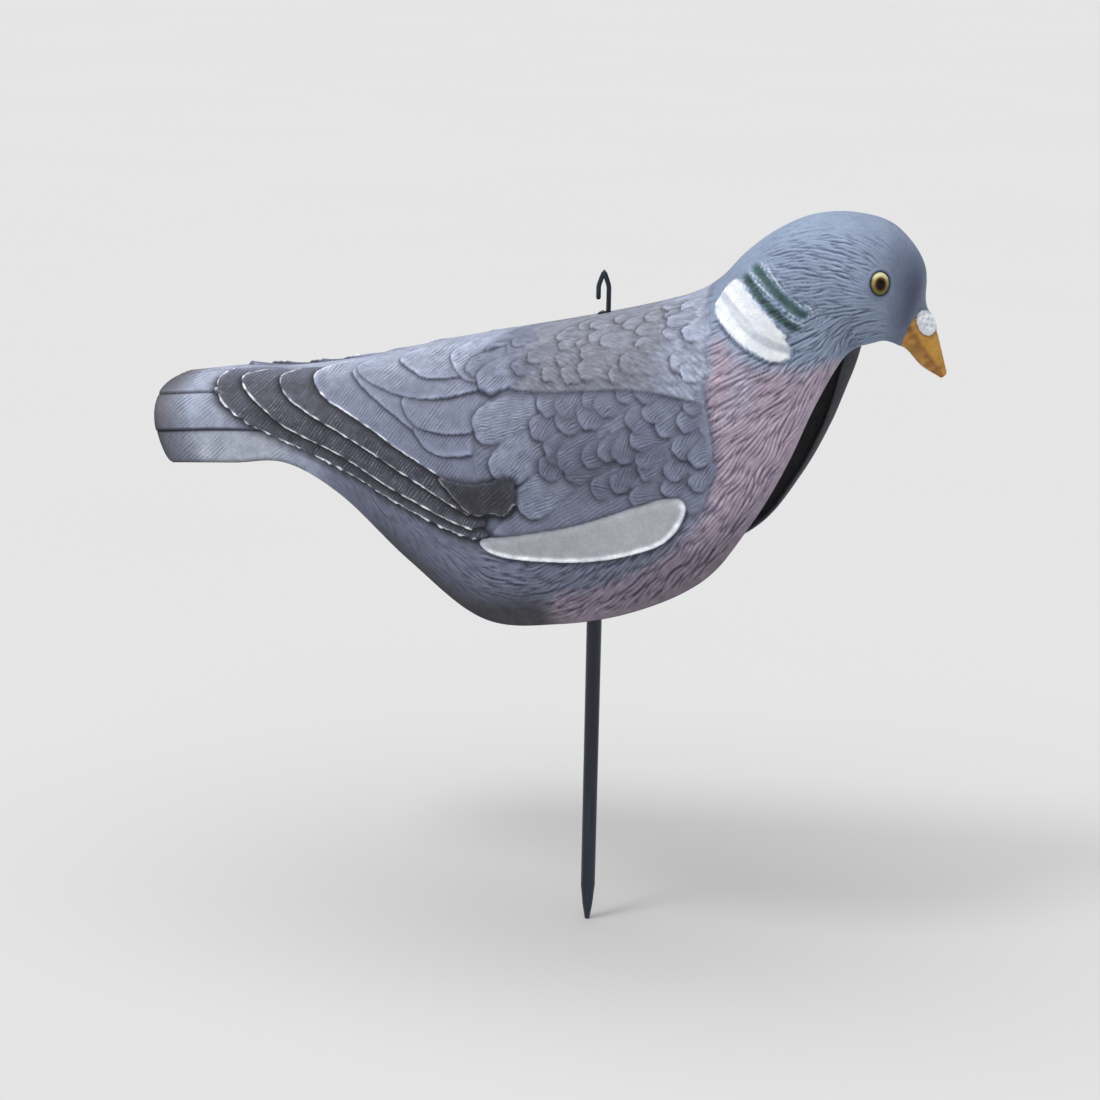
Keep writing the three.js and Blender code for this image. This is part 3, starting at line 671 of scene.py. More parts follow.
            # Painted shadow and shade in the crease under each tail feather's edge
            self.at_least("edge_shadow_and_dark_paint", 0.7 * (edge_shadow_and_dark_paint * groove), window)
            self.at_least("crease_shade_and_tone", edge_shadow_and_dark_paint * groove, window)
            from_edge = np.minimum(from_edge, gap)
        barb = barb_lines(POINTS[window], 42, 1.7)
        barb += 0.3 * ripple(POINTS[window], 26, self.seed + 31)
        patchy = np.clip(0.5 + 0.6 * ripple(POINTS[window], 14, self.seed + 32), 0, 1)
        depth = 0.8 * patchy * smooth(t, 0.05, 0.2) * (1 - smooth(t, 2, 2.5))
        depth *= smooth(from_edge, 0.8, 2)
        self.height[window] -= 0.18 * depth * self.ridges(window, barb)
        self.barb[window] = barb
        self.paint["barb_depth"][window] = depth
        self.paint["dry"][window] = 0.3 * depth
        wander = 0.06 * ripple(POINTS, 24, self.seed + 3)
        wander += 0.02 * ripple(POINTS, 3, self.seed + 4)
        band = 1 - smooth(T + wander, -0.1, 0.75)
        self.at_least("soot", (0.2 + 0.55 * band) * smooth(band, 0, 0.3))
        # Painted light: the lower tail feather is painted paler, making up for the weaker light
        # that reaches it from below
        low = smooth(V, 0.6, 0.7) * (1 - smooth(T, 1.6, 3)) * (1 - band)
        self.at_least("pale", low)
        self.at_least("white", 0.36 * low)
        sides = np.maximum(hump(FROM_RIM, 0, 1.6), 0.7 * hump(T, 0, 0.06)) * (T < 2.4)
        self.at_least("edge_shadow_and_dark_paint", 0.7 * sides)

    def wing(self):
        """The folded wing, laid from its lowest feather to the mantle over it"""
        dark = {"dark": 0.5 + 0.5 * smooth(V, 0.1, 0.42), "slate": 1.0}
        kinds = zip(long_feathers, (52, 57, 60), (0.5, 0.16, 0.14), (4.2, 2.6, 2.6))
        for (edge, rest), slope, ragged, reach in kinds:
            self.feather(edge, rest, 2.4, 8, 0.3, dark, slope, bright=0.8, brushed=0.42,
                         ragged=ragged, under_shadow=0.9, reach=reach)
        pale = {"pale": 0.14 + 0.64 * (1 - smooth(V, 0.12, 0.37)), "slate": 1.0}
        bright, under_shadow, reach = 0.8, 0.85, 2.6
        for (edge, rest), slope in zip(pale_feathers, (58, 50, 60, 56, 50, 46, 44)):
            self.feather(edge, rest, 2.1, 9, 0.4, pale, slope, bright=bright, ragged=0.14,
                         under_shadow=under_shadow, reach=reach)
            bright, under_shadow, reach = 0.06, 0.35, 1.3
        self.coverts()
        edge, rest = alula_feather
        self.feather(edge, rest, 3.2, 14, 1.4, {"dark": 1.0, "edge_shadow_and_dark_paint": 0.75}, 50, bright=0.75,
                     brushed=0.35, ragged=0.3, under_shadow=0.9, reach=2.6, corners=3)
        self.patch()
        self.scapulars()
        ridge = (1 - smooth(V, 0.02, 0.15)) * (1 - smooth(T, 5, 6))
        self.height *= 1 - 0.65 * ridge
        for name in ("edge_shadow_and_dark_paint", "dark", "crease_shade_and_tone"):
            self.paint[name] *= 1 - 0.65 * ridge

    def coverts(self):
        """Six staggered lines of short feathers, with three big ones behind them"""
        path = smooth_path(covert_area, 5, closed=True)
        window = window_round(path, 10)
        inside = depth_in(path, window)
        ground = np.full(T.shape, 0.6)
        barb = barb_lines(POINTS[window], 34, 1.8)
        barb += 0.4 * ripple(POINTS[window], 16, self.seed + 70)
        depth = 0.55 * smooth(inside, 1, 3)
        top = 0.75 - 0.16 * depth * self.ridges(window, barb)
        self.lay(window, inside, top, {"slate": 1, "barb_depth": depth, "dry": 0.1}, 0.35, cut=1.1,
                 barb=barb)
        height = self.height.copy()
        paint = {name: mask.copy() for name, mask in self.paint.items()}
        tips = [(4.95, 0.44, 17), (5.3, 0.57, 20), (5.6, 0.66, 19)]
        for k, rear in enumerate((5.5, 5.5, 5.6, 5.8, 6.1, 6.8)):
            for x in np.arange(-30 + 3 * k + covert_spacing / 2 * (k % 2), 62, covert_spacing):
                place = x + self.draw.normal(0, 2.2)
                t = float(np.interp(place, back_x, np.arange(len(back_x))))
                v = 0.4 + 0.055 * k + self.draw.normal(0, 0.012)
                if t > rear:
                    tips.append((t, v, mix(13.5, 10, float(smooth(t, 5.5, 8)))))
        turns = lie(np.full(T.shape, 46.0))
        for t, v, width in sorted(tips, key=lambda tip: 22 * tip[0] - 120 * tip[1]):
            big = width > 14
            aim = turns[grid_place(t, v)] + self.draw.normal(0, 0.18)
            size = width * self.draw.uniform(0.85, 1.25)
            lift = 1.2 if big else 0.95 * self.draw.uniform(0.7, 1.15)
            stain = 0 if big else 0.32 - 0.2 * float(smooth(t, 6.5, 8))
            self.scale(t, v, aim, size * 1.6, size, lift, ground,
                       {"slate": 1.0, "pale": 0.3 if big else 0.04, "crease_shade_and_tone": stain},
                       depth=0.95, shade=0.8, under_shadow=0.4)
        front = smooth(T + 0.12 * ripple(POINTS, 9, self.seed + 71), 8.3, 8.7)
        self.cover(height, paint, front)
        # Darker in the middle of the coverts
        self.at_least("dark_airbrush_and_shade", 0.36 * hump(T, 6.7, 0.9) * hump(V, 0.57, 0.12))

    def patch(self):
        """The smooth enamelled patch low on the wing, with its bright lip"""
        path = smooth_path([*patch_low, *patch_high], 10, closed=True)
        window = window_round(path, 10)
        inside = depth_in(path, window)
        low, _ = near_path(smooth_path([*patch_low, patch_high[0]], 10), window)
        upper, _ = near_path(smooth_path([*patch_high, patch_low[0]], 10), window)
        worn = 0.88 + 0.14 * ripple(POINTS[window], 11, self.seed + 73)
        lip = hump(low, 0.9, 1.8) * smooth(upper, 1, 8) * worn
        top = 1.5 + 0.3 * lip - 0.7 * np.exp(-inside.clip(0) / 0.9)
        warm = 0.2 * (1 - smooth(T[window], 5.2, 7.4)) * smooth(low, 1.5, 5)
        shade = 0.6 * hump(upper, 0, 2.2) + 0.2
        self.lay(window, inside, top, {"enamel": 1, "white": np.clip(lip, 0, 1), "crease_shade_and_tone": warm},
                 shade=shade, cut=0.5)
        # Painted shadow along the patch's upper edge, under the coverts that overhang it
        self.at_least("edge_shadow_and_dark_paint", 0.385 * hump(upper, 0, 1.3) * (inside > -2.5), window)

    def scapulars(self):
        """The mantle and the thick feathers that overhang the wing"""
        edge = np.interp(T, scapular_stations, scapular_shares)
        share = V / np.maximum(edge, 0.01)
        pad = 2.6 * smooth(share, 0.2, 0.85) * smooth(T, 4.5, 5.3) * (1 - smooth(T, 7.9, 8.8))
        pad *= 1 - 0.25 * smooth(share, 0.88, 1.02)
        line = list(zip(scapular_stations, scapular_shares))
        inner = [(9.2, 0.3), (9.0, 0.08), (8.9, -0.02), (5.2, -0.02), (4.9, 0.08)]
        path = smooth_path([*line, *inner], 5, closed=True)
        gap, _ = near_path(smooth_path(line, 5))
        rest, _ = near_path(smooth_path([line[-1], *inner, line[0]], 5))
        within = encloses(path)
        nearest = np.where(within, np.minimum(gap, rest), -np.minimum(gap, rest))
        soft = smooth(nearest, -1.2, 1.2) * smooth(rest, 0, 12)
        brow = (0.45 + 0.55 * hump(share, 0.86, 0.26)) * (V > 0.05) * (share < 1.05)
        brow *= (T > 5) * (T < 8.8)
        strokes = self.comb(brow, lie(np.full(T.shape, -34.0)), 2.1, 9)
        top = pad + 0.85 * (strokes - 0.6) * brow
        warm = (0.85 - 0.6 * smooth(T, 7, 8.4)) * smooth(T, 5, 5.8)
        deep = 0.4 * smooth(share, 0.4, 0.85) * (1 - smooth(T, 7.6, 8.6))
        bright = 0.85 * smooth(T, 7, 8.3) + 0.15 * (1 - smooth(V, 0.04, 0.16))
        coat = {"mantle": warm, "slate": 1.0, "crease_shade_and_tone": deep, "pale": bright}
        self.cover(top, coat, soft)
        # Painted shadow and shade on the wing below the mantle's overhanging edge
        below = (nearest < 0) * (gap < rest) * (T > 4.7) * (T < 8.7)
        outside = np.minimum(nearest, 0)
        self.at_least("edge_shadow_and_dark_paint", 0.3 * hump(outside, 0, 2.6) * below)
        self.at_least("crease_shade_and_tone", 0.6 * hump(outside, 0, 5) * below)
        turns = lie(np.full(T.shape, 38.0))
        ground = np.maximum(pad, 0.5)
        for t, v, width in ((4.9, 0.19, 14), (4.7, 0.25, 16), (4.92, 0.305, 19)):
            self.scale(t, v, turns[grid_place(t, v)], width * 1.35, width, 1.5, ground,
                       {"slate": 1.0, "pale": 0.2}, depth=0.9, shade=0.8, under_shadow=0.45)
        for k, at in enumerate(np.arange(5.3, 8.2, 0.38)):
            limit = float(np.interp(at, scapular_stations, scapular_shares))
            row, _ = grid_place(at, 0.3)
            step = scapular_spacing / ROUND_LENGTH[row, -1]
            spot = 0.1 + 0.5 * step * (k % 2)
            while spot < limit - 0.02:
                t = at + 0.9 * (spot - 0.25) + self.draw.normal(0, 0.13)
                size = 12.5 * self.draw.uniform(0.8, 1.15)
                i, j = grid_place(t, spot)
                if t > 5.2 and self.draw.uniform() > 0.2 * smooth(spot / limit, 0.5, 0.9):
                    aim = turns[i, j] + self.draw.normal(0, 0.18)
                    paint = {name: np.broadcast_to(value, T.shape)[i, j]
                             for name, value in coat.items()}
                    self.scale(t, spot, aim, size * 1.1, size, self.draw.uniform(0.5, 0.8), top,
                               paint, pitch=2.0, depth=0.3, shade=1.0, under_shadow=0.3)
                spot += step * self.draw.uniform(0.9, 1.1)

    def neck(self):
        """The white patch with its streaks, the groove under it and the two green bars"""
        window = (slice(grid_place(8.6, 0)[0], grid_place(12.2, 0)[0]), slice(0, columns + 1))
        points = POINTS[window]
        inside = depth_in(smooth_path(neck_patch, 6, closed=True), window)
        groove, run = near_path(smooth_path(patch_groove, 8), window)
        first, _ = near_path(smooth_path(green_bars[0], 8), window)
        second, along = near_path(smooth_path(green_bars[1], 8), window)
        share = groove / (groove + first + 1e-6)
        streak = ripple(np.stack([0.16 * run, 17 * share, 0 * run], axis=-1), 2.6, self.seed + 50)
        brushed = ripple(np.stack([0.2 * along, second, 0 * run], axis=-1), 1.6, self.seed + 52)
        fine = ripple(points, 1.7, self.seed + 51)
        frayed = 0.7 * smooth(run, 34, 54)
        cover = smooth(inside + frayed * streak + 0.3 * fine, -1.4, 1.6)
        rough = share + 0.02 * streak
        lower = smooth(rough, 0, 0.08) * (1 - smooth(rough, 0.22, 0.36))
        upper = smooth(rough, 0.46, 0.58) * (1 - smooth(rough, 0.7, 0.9))
        crescents = np.clip(lower + upper, 0, 1)
        top = 0.15 + 0.12 * crescents + 0.08 * streak
        self.height[window] = mix(self.height[window], top, cover)
        white = cover * np.clip(0.55 + 0.45 * crescents + 0.06 * streak, 0, 1)
        close = np.minimum(first, second)
        faded = smooth(brushed + 0.35 * fine, -1.5, 1.6)
        low_end = 1 - smooth(V[window], 0.6, 0.7)
        strip = 0.62 * faded * hump(close, 3.2, 2.6) * smooth(along, 0, 6)
        strip *= smooth(V[window], 0.18, 0.26) * low_end * (second < 8)
        mask = self.paint["white"][window]
        mask[:] = np.maximum(mask * (1 - cover), np.maximum(white, strip))
        self.paint["rosy"][window] *= 1 - cover
        # The groove under the patch is sunk and darkened with painted shade
        cut = hump(groove, 0.3, 0.55) * smooth(run, 3, 12) * (1 - smooth(run, 44, 58))
        self.height[window] -= 0.45 * cut
        self.at_least("crease_shade_and_tone", 0.6 * cut, window)
        ends = smooth(V[window], 0.17, 0.27) * low_end
        for distance, width in ((first, 2.3), (second, 2.6)):
            edge = distance + 0.35 * fine + 0.5 * brushed
            bar = np.clip(1.25 * hump(edge, 0, width), 0, 1) * ends
            bar *= 0.7 + 0.3 * smooth(brushed, -0.8, 0.4)
            self.at_least("green", bar, window)
            self.paint["white"][window] *= 1 - 0.85 * bar
            self.height[window] -= 0.4 * hump(distance, 0, 1.5) * ends
            self.height[window] += 0.25 * hump(distance, 3, 1.3) * ends
        self.height[window] += 0.1 * brushed * hump(second, 0, 8) * (1 - cover)

    def face(self):
        """The eye's socket and lid, the cere, the beak and its mouth line"""
        i, j = grid_place(*eye_place)
        offset = (POINTS - POINTS[i, j]) / np.array([eye_wide, 1, eye_tall])
        far = np.linalg.norm(offset, axis=-1)
        upper = smooth(offset[..., 2], -2, 4)
        self.height *= smooth(far, 5.5, 9.5)
        self.height += (0.12 + 0.4 * upper) * hump(far, eye_radius + 1.3, 0.9)
        socket = 1 - smooth(far, eye_radius + 0.05, eye_radius + 0.45)
        self.height = mix(self.height, -socket_depth, socket)
        # Painted shadow round the eye, strongest under the lid at the top and rear
        ring = hump(far, eye_radius + 0.25, 0.55)
        rearward = smooth(offset[..., 0], 4, -4)
        lid_shadow = 0.05 + upper * (0.3 + 0.5 * rearward)
        self.at_least("edge_shadow_and_dark_paint", lid_shadow * ring)
        self.round_eye = 1 - smooth(far, eye_radius + 1.2, eye_radius + 2.4)
        self.at_least("lores", 0.55 * hump(far, eye_radius, 4))
        self.height += forehead_rise * dab(14.8, 0.5, 0, 0.32)
        self.height -= cere_hollow * dab(15.95, 0.5, 0, 0.4)
        root = np.interp(V, beak_root_shares, beak_root_stations)
        beak = smooth(T, root - 0.05, root + 0.05)
        self.paint["beak"] = beak
        for name in ("lores", "rosy"):
            self.paint[name] *= 1 - beak
        self.height -= 0.35 * hump(T, root, 0.05)
        mouth_line = [(15.5, 0.66), (16.2, 0.645), (17, 0.63), (17.7, 0.62)]
        mouth, _ = near_path(smooth_path(mouth_line, 6))
        gape = hump(mouth, 0, 0.6) * (T > 15.45)
        self.height -= 0.25 * gape
        # Painted shade in the groove of the mouth line
        self.at_least("crease_shade_and_tone", 0.3 * gape)
        lower = smooth(V, 0.5, 0.66) * (1 - smooth(V, 0.86, 0.98))
        tip = smooth(T, 17, 17.8)
        streaky = 0.75 + 0.25 * ripple(POINTS, 5, self.seed + 78)
        horn = np.clip(0.55 * lower + 0.9 * hump(mouth, 0, 1.6) + 0.6 * tip, 0, 1)
        self.paint["horn"] = horn * streaky * beak
        offset = POINTS - skin(np.array(cere_place[0]), np.array(cere_place[1]))
        down_beak = unit(np.array([back_x[17] - back_x[16], 0, back_z[17] - back_z[16]]))
        over_beak = np.array([-down_beak[2], 0, down_beak[0]])
        lobe = np.hypot(offset @ down_beak / cere_length, offset @ over_beak / cere_width)
        near = (T > 14.9) * (T < 17.4) * (V < 0.62)
        lumps = 0.5 * ripple(POINTS, 3.2, 77) + 0.3 * ripple(POINTS, 1.6, 78)
        bulge = np.clip(1 - lobe**2, 0, 1) ** 0.42 * near
        cleft = 1 - 0.2 * hump(ROUND_LENGTH, 0, 1.3)
        self.height += (cere_bulge * cleft + 0.45 * lumps) * bulge
        cere = smooth(1.03 + 0.08 * lumps - lobe, 0, 0.06) * near
        self.at_least("white", 0.95 * cere)
        for name in ("beak", "horn", "lores"):
            self.paint[name] *= 1 - cere
        # Painted shade round the cere's edge, where it stands off the beak
        self.at_least("crease_shade_and_tone", 0.5 * hump(lobe, 1.1, 0.08) * beak)

    def slot(self):
        """The slot in the back that the hook comes out through"""
        half = hook_spacing / 2 + hook_thickness / 2 + 0.9
        radius = hook_thickness / 2 + 0.55
        x, y = POINTS[..., 0] - hook_offset, POINTS[..., 1]
        over = (POINTS[..., 2] > back_height - 40) * (T > 4) * (T < 9)
        gap = np.hypot(np.maximum(np.abs(x) - (half - radius), 0), y) - radius
        hole = (1 - smooth(gap, -0.5, 0.35)) * over
        self.height = mix(self.height, -wall, hole)
        # The slot is painted dark: the dark moulding seen through it and painted shade in the hole
        self.at_least("soot", hole)

    def shade(self):
        """Painted shade in the hollows and a painted highlight over the ridges"""
        height = self.height
        blurred = height
        for _ in range(3):
            padded = np.pad(blurred, 2, mode="edge")
            blurred = sum(
                padded[2 + a:2 + a + height.shape[0], 2 + b:2 + b + height.shape[1]]
                for a in (-2, 0, 2) for b in (-2, 0, 2)
            ) / 9
        cavity = (blurred - height) / 0.3 * (1 - 0.85 * self.round_eye)
        self.paint["crease_shade_and_tone"] = np.clip(np.maximum(self.paint["crease_shade_and_tone"], 0.6 * cavity), 0, 1)
        # Painted highlight: the ridges are lightened where the relief stands proud
        self.paint["light"] = np.clip(-0.75 * cavity, 0, 1)

    def make(self):
        self.coat_regions()
        self.plumage()
        self.tail()
        self.wing()
        self.neck()
        self.face()
        self.slot()
        self.height *= 1 - 0.85 * (1 - smooth(FROM_RIM, 0, 3)) * (T < throat)
        self.shade()
        return self


right = Flank(11).make()
left = Flank(29).make()
left.height += left_rim_flare * hump(T, 11, 1.1) * smooth(V, 0.7, 1) * (T < throat)
# The two sides share their heights along the back and under the closed throat
back_line = (slice(None), slice(0, 1))
throat_line = (slice(throat_row, None), slice(-1, None))
for shared in (back_line, throat_line):
    level = (right.height[shared] + left.height[shared]) / 2
    right.height[shared] = left.height[shared] = level


def both_sides(field):
    """Values of the right side's rim round to the left side's rim"""
    return np.concatenate([field(right)[:, ::-1], field(left)[:, 1:]], axis=1)


relief = both_sides(lambda side: side.height)
masks = {name: both_sides(lambda side, name=name: side.paint[name]) for name in coats}
masks["barb"] = both_sides(lambda side: side.barb)
mirror = np.array([1.0, -1.0, 1.0])
bare = np.concatenate([POINTS[:, ::-1] * mirror, POINTS[:, 1:]], axis=1)
outward = np.concatenate([NORMALS[:, ::-1] * mirror, NORMALS[:, 1:]], axis=1)
outer = bare + outward * relief[..., None]

# The end wall of the tail draws in to the middle of the rim's line, and the beak to its tip
wall_shares = np.array([0, 0.03, 0.08, 0.14, 0.22, 0.32, 0.45, 0.6, 0.8])


def end_wall(row):
    middle = (row[0] + row[-1]) / 2
    shares = wall_shares[:, None, None]
    drawn = mix(middle, row[None], shares)
    drawn[..., 0] -= tail_bulge * np.sin(shares[..., 0] * math.pi) ** 0.7
    return drawn


def beak_end(row, before):
    centre = row.mean(axis=0)
    onward = centre - before.mean(axis=0)
    onward /= np.linalg.norm(onward)
    angles = np.linspace(0, math.pi / 2, 6)[1:]
    return np.stack([mix(row, centre, 1 - math.cos(a)) + onward * beak_end_reach * math.sin(a)
                     for a in angles])


def extend(values, count_first, count_last):
    first = np.repeat(values[:1], count_first, axis=0)
    last = np.repeat(values[-1:], count_last, axis=0)
    return np.concatenate([first, values, last])


def numbers_of(items, key, width, kind=np.float32):
    """One property of all vertices or faces, in rows"""
    values = np.empty(len(items) * width, kind)
    items.foreach_get(key, values)
    return values.reshape(-1, width)


def added(name, data):
    """A new object in the scene"""
    made = bpy.data.objects.new(name, data)
    bpy.context.scene.collection.objects.link(made)
    return made


def sheet(name, points, attributes, out_from, seam=None, weld=0.00002):
    """A grid of points as one mesh with its masks, faces turned away from out_from; seam
    gives the normals that it shares with its neighbours"""
    high, wide = points.shape[:2]
    bm = bmesh.new()
    bmesh.ops.create_grid(bm, x_segments=wide - 1, y_segments=high - 1, size=1)
    mesh = bpy.data.meshes.new(name)
    bm.to_mesh(mesh)
    bm.free()
    flat = numbers_of(mesh.vertices, "co", 3)
    column = np.rint((flat[:, 0] + 1) / 2 * (wide - 1)).astype(int)
    row = np.rint((flat[:, 1] + 1) / 2 * (high - 1)).astype(int)
    placed = (points[row, column] * MM).astype(np.float32)
    mesh.vertices.foreach_set("co", placed.ravel())
    for key, values in attributes.items():
        layer = mesh.attributes.new(key, "FLOAT", "POINT")
        layer.data.foreach_set("value", values[row, column].astype(np.float32))
    layer = mesh.attributes.new("place", "INT", "POINT")
    layer.data.foreach_set("value", (row * wide + column).astype(np.int32))
    mesh.update()
    bm = bmesh.new()
    bm.from_mesh(mesh)
    bmesh.ops.remove_doubles(bm, verts=bm.verts, dist=weld)
    bm.to_mesh(mesh)
    bm.free()
    away = numbers_of(mesh.polygons, "center", 3) - out_from
    if (numbers_of(mesh.polygons, "normal", 3) * away).sum() < 0:
        mesh.flip_normals()
    mesh.polygons.foreach_set("use_smooth", np.ones(len(mesh.polygons), bool))
    mesh.update()
    if seam is not None:
        place = numbers_of(mesh.attributes["place"].data, "value", 1, np.int32)[:, 0]
        mesh.normals_split_custom_set_from_vertices(seam.reshape(-1, 3)[place])
    mesh.attributes.remove(mesh.attributes["place"])
    return added(name, mesh)


middle_of = {
    "body": np.array([-0.05, 0, back_height * MM - 0.06]),
    "head": np.array([0.115, 0, back_height * MM - 0.005]),
}
end_rows = end_wall(outer[0])
tip_rows = beak_end(outer[-1], outer[-6])
whole = np.concatenate([end_rows, outer, tip_rows])
whole_masks = {k: extend(m, len(end_rows), len(tip_rows)) for k, m in masks.items()}
split_row = int(np.searchsorted(rows, split_station))
first_rows = [0, *(len(end_rows) + r for r in (split_row, shoulder_row)), len(whole) - 1]


def seam_normals():
    """The normals along the lines where pieces meet, and nothing elsewhere"""
    facing = unit(np.cross(np.gradient(whole, axis=1), np.gradient(whole, axis=0)))
    if (facing[len(end_rows):-len(tip_rows)] * outward).sum() < 0:
        facing = -facing
    closed = slice(len(end_rows) + throat_row + 1, None)
    facing[closed, 0] = facing[closed, -1] = unit(facing[closed, 0] + facing[closed, -1])
    meets = np.zeros(whole.shape[:2], bool)
    meets[first_rows[1:3]] = True
    meets[len(end_rows):-len(tip_rows), columns] = True
    meets[len(end_rows) + throat_row + 1:-len(tip_rows), (0, -1)] = True
    return np.where(meets[..., None], facing, 0)


seam = seam_normals()
skin_pieces = []
reaches = ("tail_and_wing", "breast_and_shoulder", "head")
for name, low, high in zip(reaches, first_rows, first_rows[1:]):
    for side, part in (("right", slice(0, columns + 1)), ("left", slice(columns, None))):
        area = (slice(low, high + 1), part)
        skin_pieces.append(sheet(
            f"{name}_{side}", whole[area], {k: m[area] for k, m in whole_masks.items()},
            middle_of["head" if name == "head" else "body"], seam[area],
        ))

# The lining: the rolled rim and the bare inside of the moulding
inner_start = 0.08
hollow_end = 15.4
inner_columns = 31
edge_shares = np.array([0.94, 0.965, 0.985, 1])
inner_shares = np.concatenate([-edge_shares[::-1], np.linspace(-0.9, 0.9, inner_columns),
                               edge_shares])


def inside_points(t, v):
    gap = half_gap(t)
    _, around, normal = skin_frame(t, v)
    from_rim = (1 - np.abs(v)) * np.linalg.norm(around, axis=-1)
    bead = smooth(gap, 4, 14) * (1 - smooth(from_rim, 0, rim_depth))
    points = skin(t, v) - normal * mix(wall, rim_thickness, bead)[..., None]
    side = np.sign(v)
    y = side * np.maximum(side * points[..., 1], gap * 0.2)
    points[..., 1] = np.where(np.abs(v) > side_share, y, points[..., 1])
    points[..., 1] = np.where((np.abs(v) == 1) & (gap == 0), 0, points[..., 1])
    return points


def lining_sheet():
    open_t = np.maximum(rows[:throat_row + 1], inner_start)
    t, v = np.meshgrid(open_t, inner_shares, indexing="ij")
    inner = inside_points(t, v)
    inner = np.concatenate([end_wall(inner[0]), inner])
    edge = np.concatenate([end_rows, outer[:throat_row + 1]])
    strip_shares = (0, 0.12, 0.35, 0.65, 0.88)
    strips = []
    for column, inner_column in ((0, 0), (-1, -1)):
        start, end = edge[:, column], inner[:, inner_column]
        across = end - start
        length = np.linalg.norm(across, axis=-1, keepdims=True)
        drop = np.zeros_like(start)
        drop[:, 2] = -1
        roll = [mix(start, end, s) + drop * 0.16 * length * math.sin(s * math.pi) ** 0.6
                for s in strip_shares]
        strips.append(np.stack(roll, axis=1))
    points = np.concatenate([strips[0], inner, strips[1][:, ::-1]], axis=1)
    lip = np.array([0.3, 0.9, 1, 1, *[1] * len(strip_shares)])
    rim = np.concatenate([lip[::-1], np.zeros(inner_columns), lip])
    rim_mask = np.repeat(rim[None], points.shape[0], axis=0)
    lining = sheet("lining", points, {"rim": rim_mask}, middle_of["body"])
    lining.data.flip_normals()
    closed_t = np.linspace(throat, hollow_end, 24)
    t, v = np.meshgrid(closed_t, inner_shares, indexing="ij")
    deep = inside_points(t, v)
    pole = np.broadcast_to(deep[-1].mean(axis=0), deep[-1].shape)
    deep = np.concatenate([deep, mix(deep[-1], pole, 0.5)[None], pole[None]])
    head = sheet("head_lining", deep, {"rim": np.zeros(deep.shape[:2])}, middle_of["head"])
    head.data.flip_normals()
    return [lining, head]


lining_pieces = lining_sheet()


# Materials
def colour(red, green, blue):
    """A colour written as it looks on a screen, from 0 to 255"""
    parts = [c / 255 for c in (red, green, blue)]
    return tuple(c / 12.92 if c < 0.04045 else ((c + 0.055) / 1.055) ** 2.4 for c in parts) + (1,)


class Finish:
    """A material's node tree, built up by small steps"""

    def __init__(self, name, roughness, specular=0.5):
        self.material = bpy.data.materials.new(name)
        self.material.use_nodes = True
        self.tree = self.material.node_tree
        self.shader = self.tree.nodes["Principled BSDF"]
        self.shader.inputs["Roughness"].default_value = roughness
        self.shader.inputs["Specular IOR Level"].default_value = specular
        self.places = self.node("ShaderNodeTexCoord").outputs["Object"]

    def node(self, kind, **settings):
        made = self.tree.nodes.new(kind)
        for key, value in settings.items():
            setattr(made, key, value)
        return made

    def link(self, source, target):
        self.tree.links.new(source, target)

    def noise(self, scale, detail=4.0, roughness=0.6, stretch=None):
        noise = self.node("ShaderNodeTexNoise")
        noise.inputs["Scale"].default_value = scale
        noise.inputs["Detail"].default_value = detail
        noise.inputs["Roughness"].default_value = roughness
        places = self.places
        if stretch:
            mapping = self.node("ShaderNodeMapping")
            mapping.inputs["Scale"].default_value = stretch
            self.link(places, mapping.inputs["Vector"])
            places = mapping.outputs["Vector"]
        self.link(places, noise.inputs["Vector"])
        return noise.outputs["Fac"]

    def mask(self, name):
        return self.node("ShaderNodeAttribute", attribute_name=name).outputs["Fac"]

    def sum(self, operation, a, b):
        made = self.node("ShaderNodeMath", operation=operation)
        for socket, value in zip(made.inputs, (a, b)):
            if isinstance(value, (int, float)):
                socket.default_value = value
            else:
                self.link(value, socket)
        return made.outputs[0]

    def times(self, a, b):
        return self.sum("MULTIPLY", a, b)

    def remap(self, value, low, high, to_low=0.0, to_high=1.0):
        made = self.node("ShaderNodeMapRange")
        names = ("From Min", "From Max", "To Min", "To Max")
        for name, number in zip(names, (low, high, to_low, to_high)):
            made.inputs[name].default_value = number
        self.link(value, made.inputs["Value"])
        return made.outputs["Result"]

    def blend(self, under, over, factor, mode="MIX"):
        made = self.node("ShaderNodeMix", data_type="RGBA", blend_type=mode)
        for place, value in ((0, factor), (6, under), (7, over)):
            if hasattr(value, "links"):
                self.link(value, made.inputs[place])
            else:
                made.inputs[place].default_value = value
        return made.outputs[2]

    def tones(self, deep, high, noise, end=0.65):
        """Two colours of a screen, mottled by a noise"""
        return self.blend(colour(*deep), colour(*high), self.remap(noise, 0.35, end))

    def broken(self, mask, noise, amount):
        """A mask whose border is broken up by a noise"""
        shifted = self.sum("MULTIPLY_ADD", noise, amount)
        shifted.node.inputs[2].default_value = -amount / 2
        total = self.sum("ADD", mask, shifted)
        return self.remap(total, 0.2, 0.8)

    def grain(self, height, distance, strength=0.5):
        bump = self.node("ShaderNodeBump")
        bump.inputs["Strength"].default_value = strength
        bump.inputs["Distance"].default_value = distance
        self.link(height, bump.inputs["Height"])
        self.link(bump.outputs["Normal"], self.shader.inputs["Normal"])

    def base(self, value):
        self.link(value, self.shader.inputs["Base Color"])


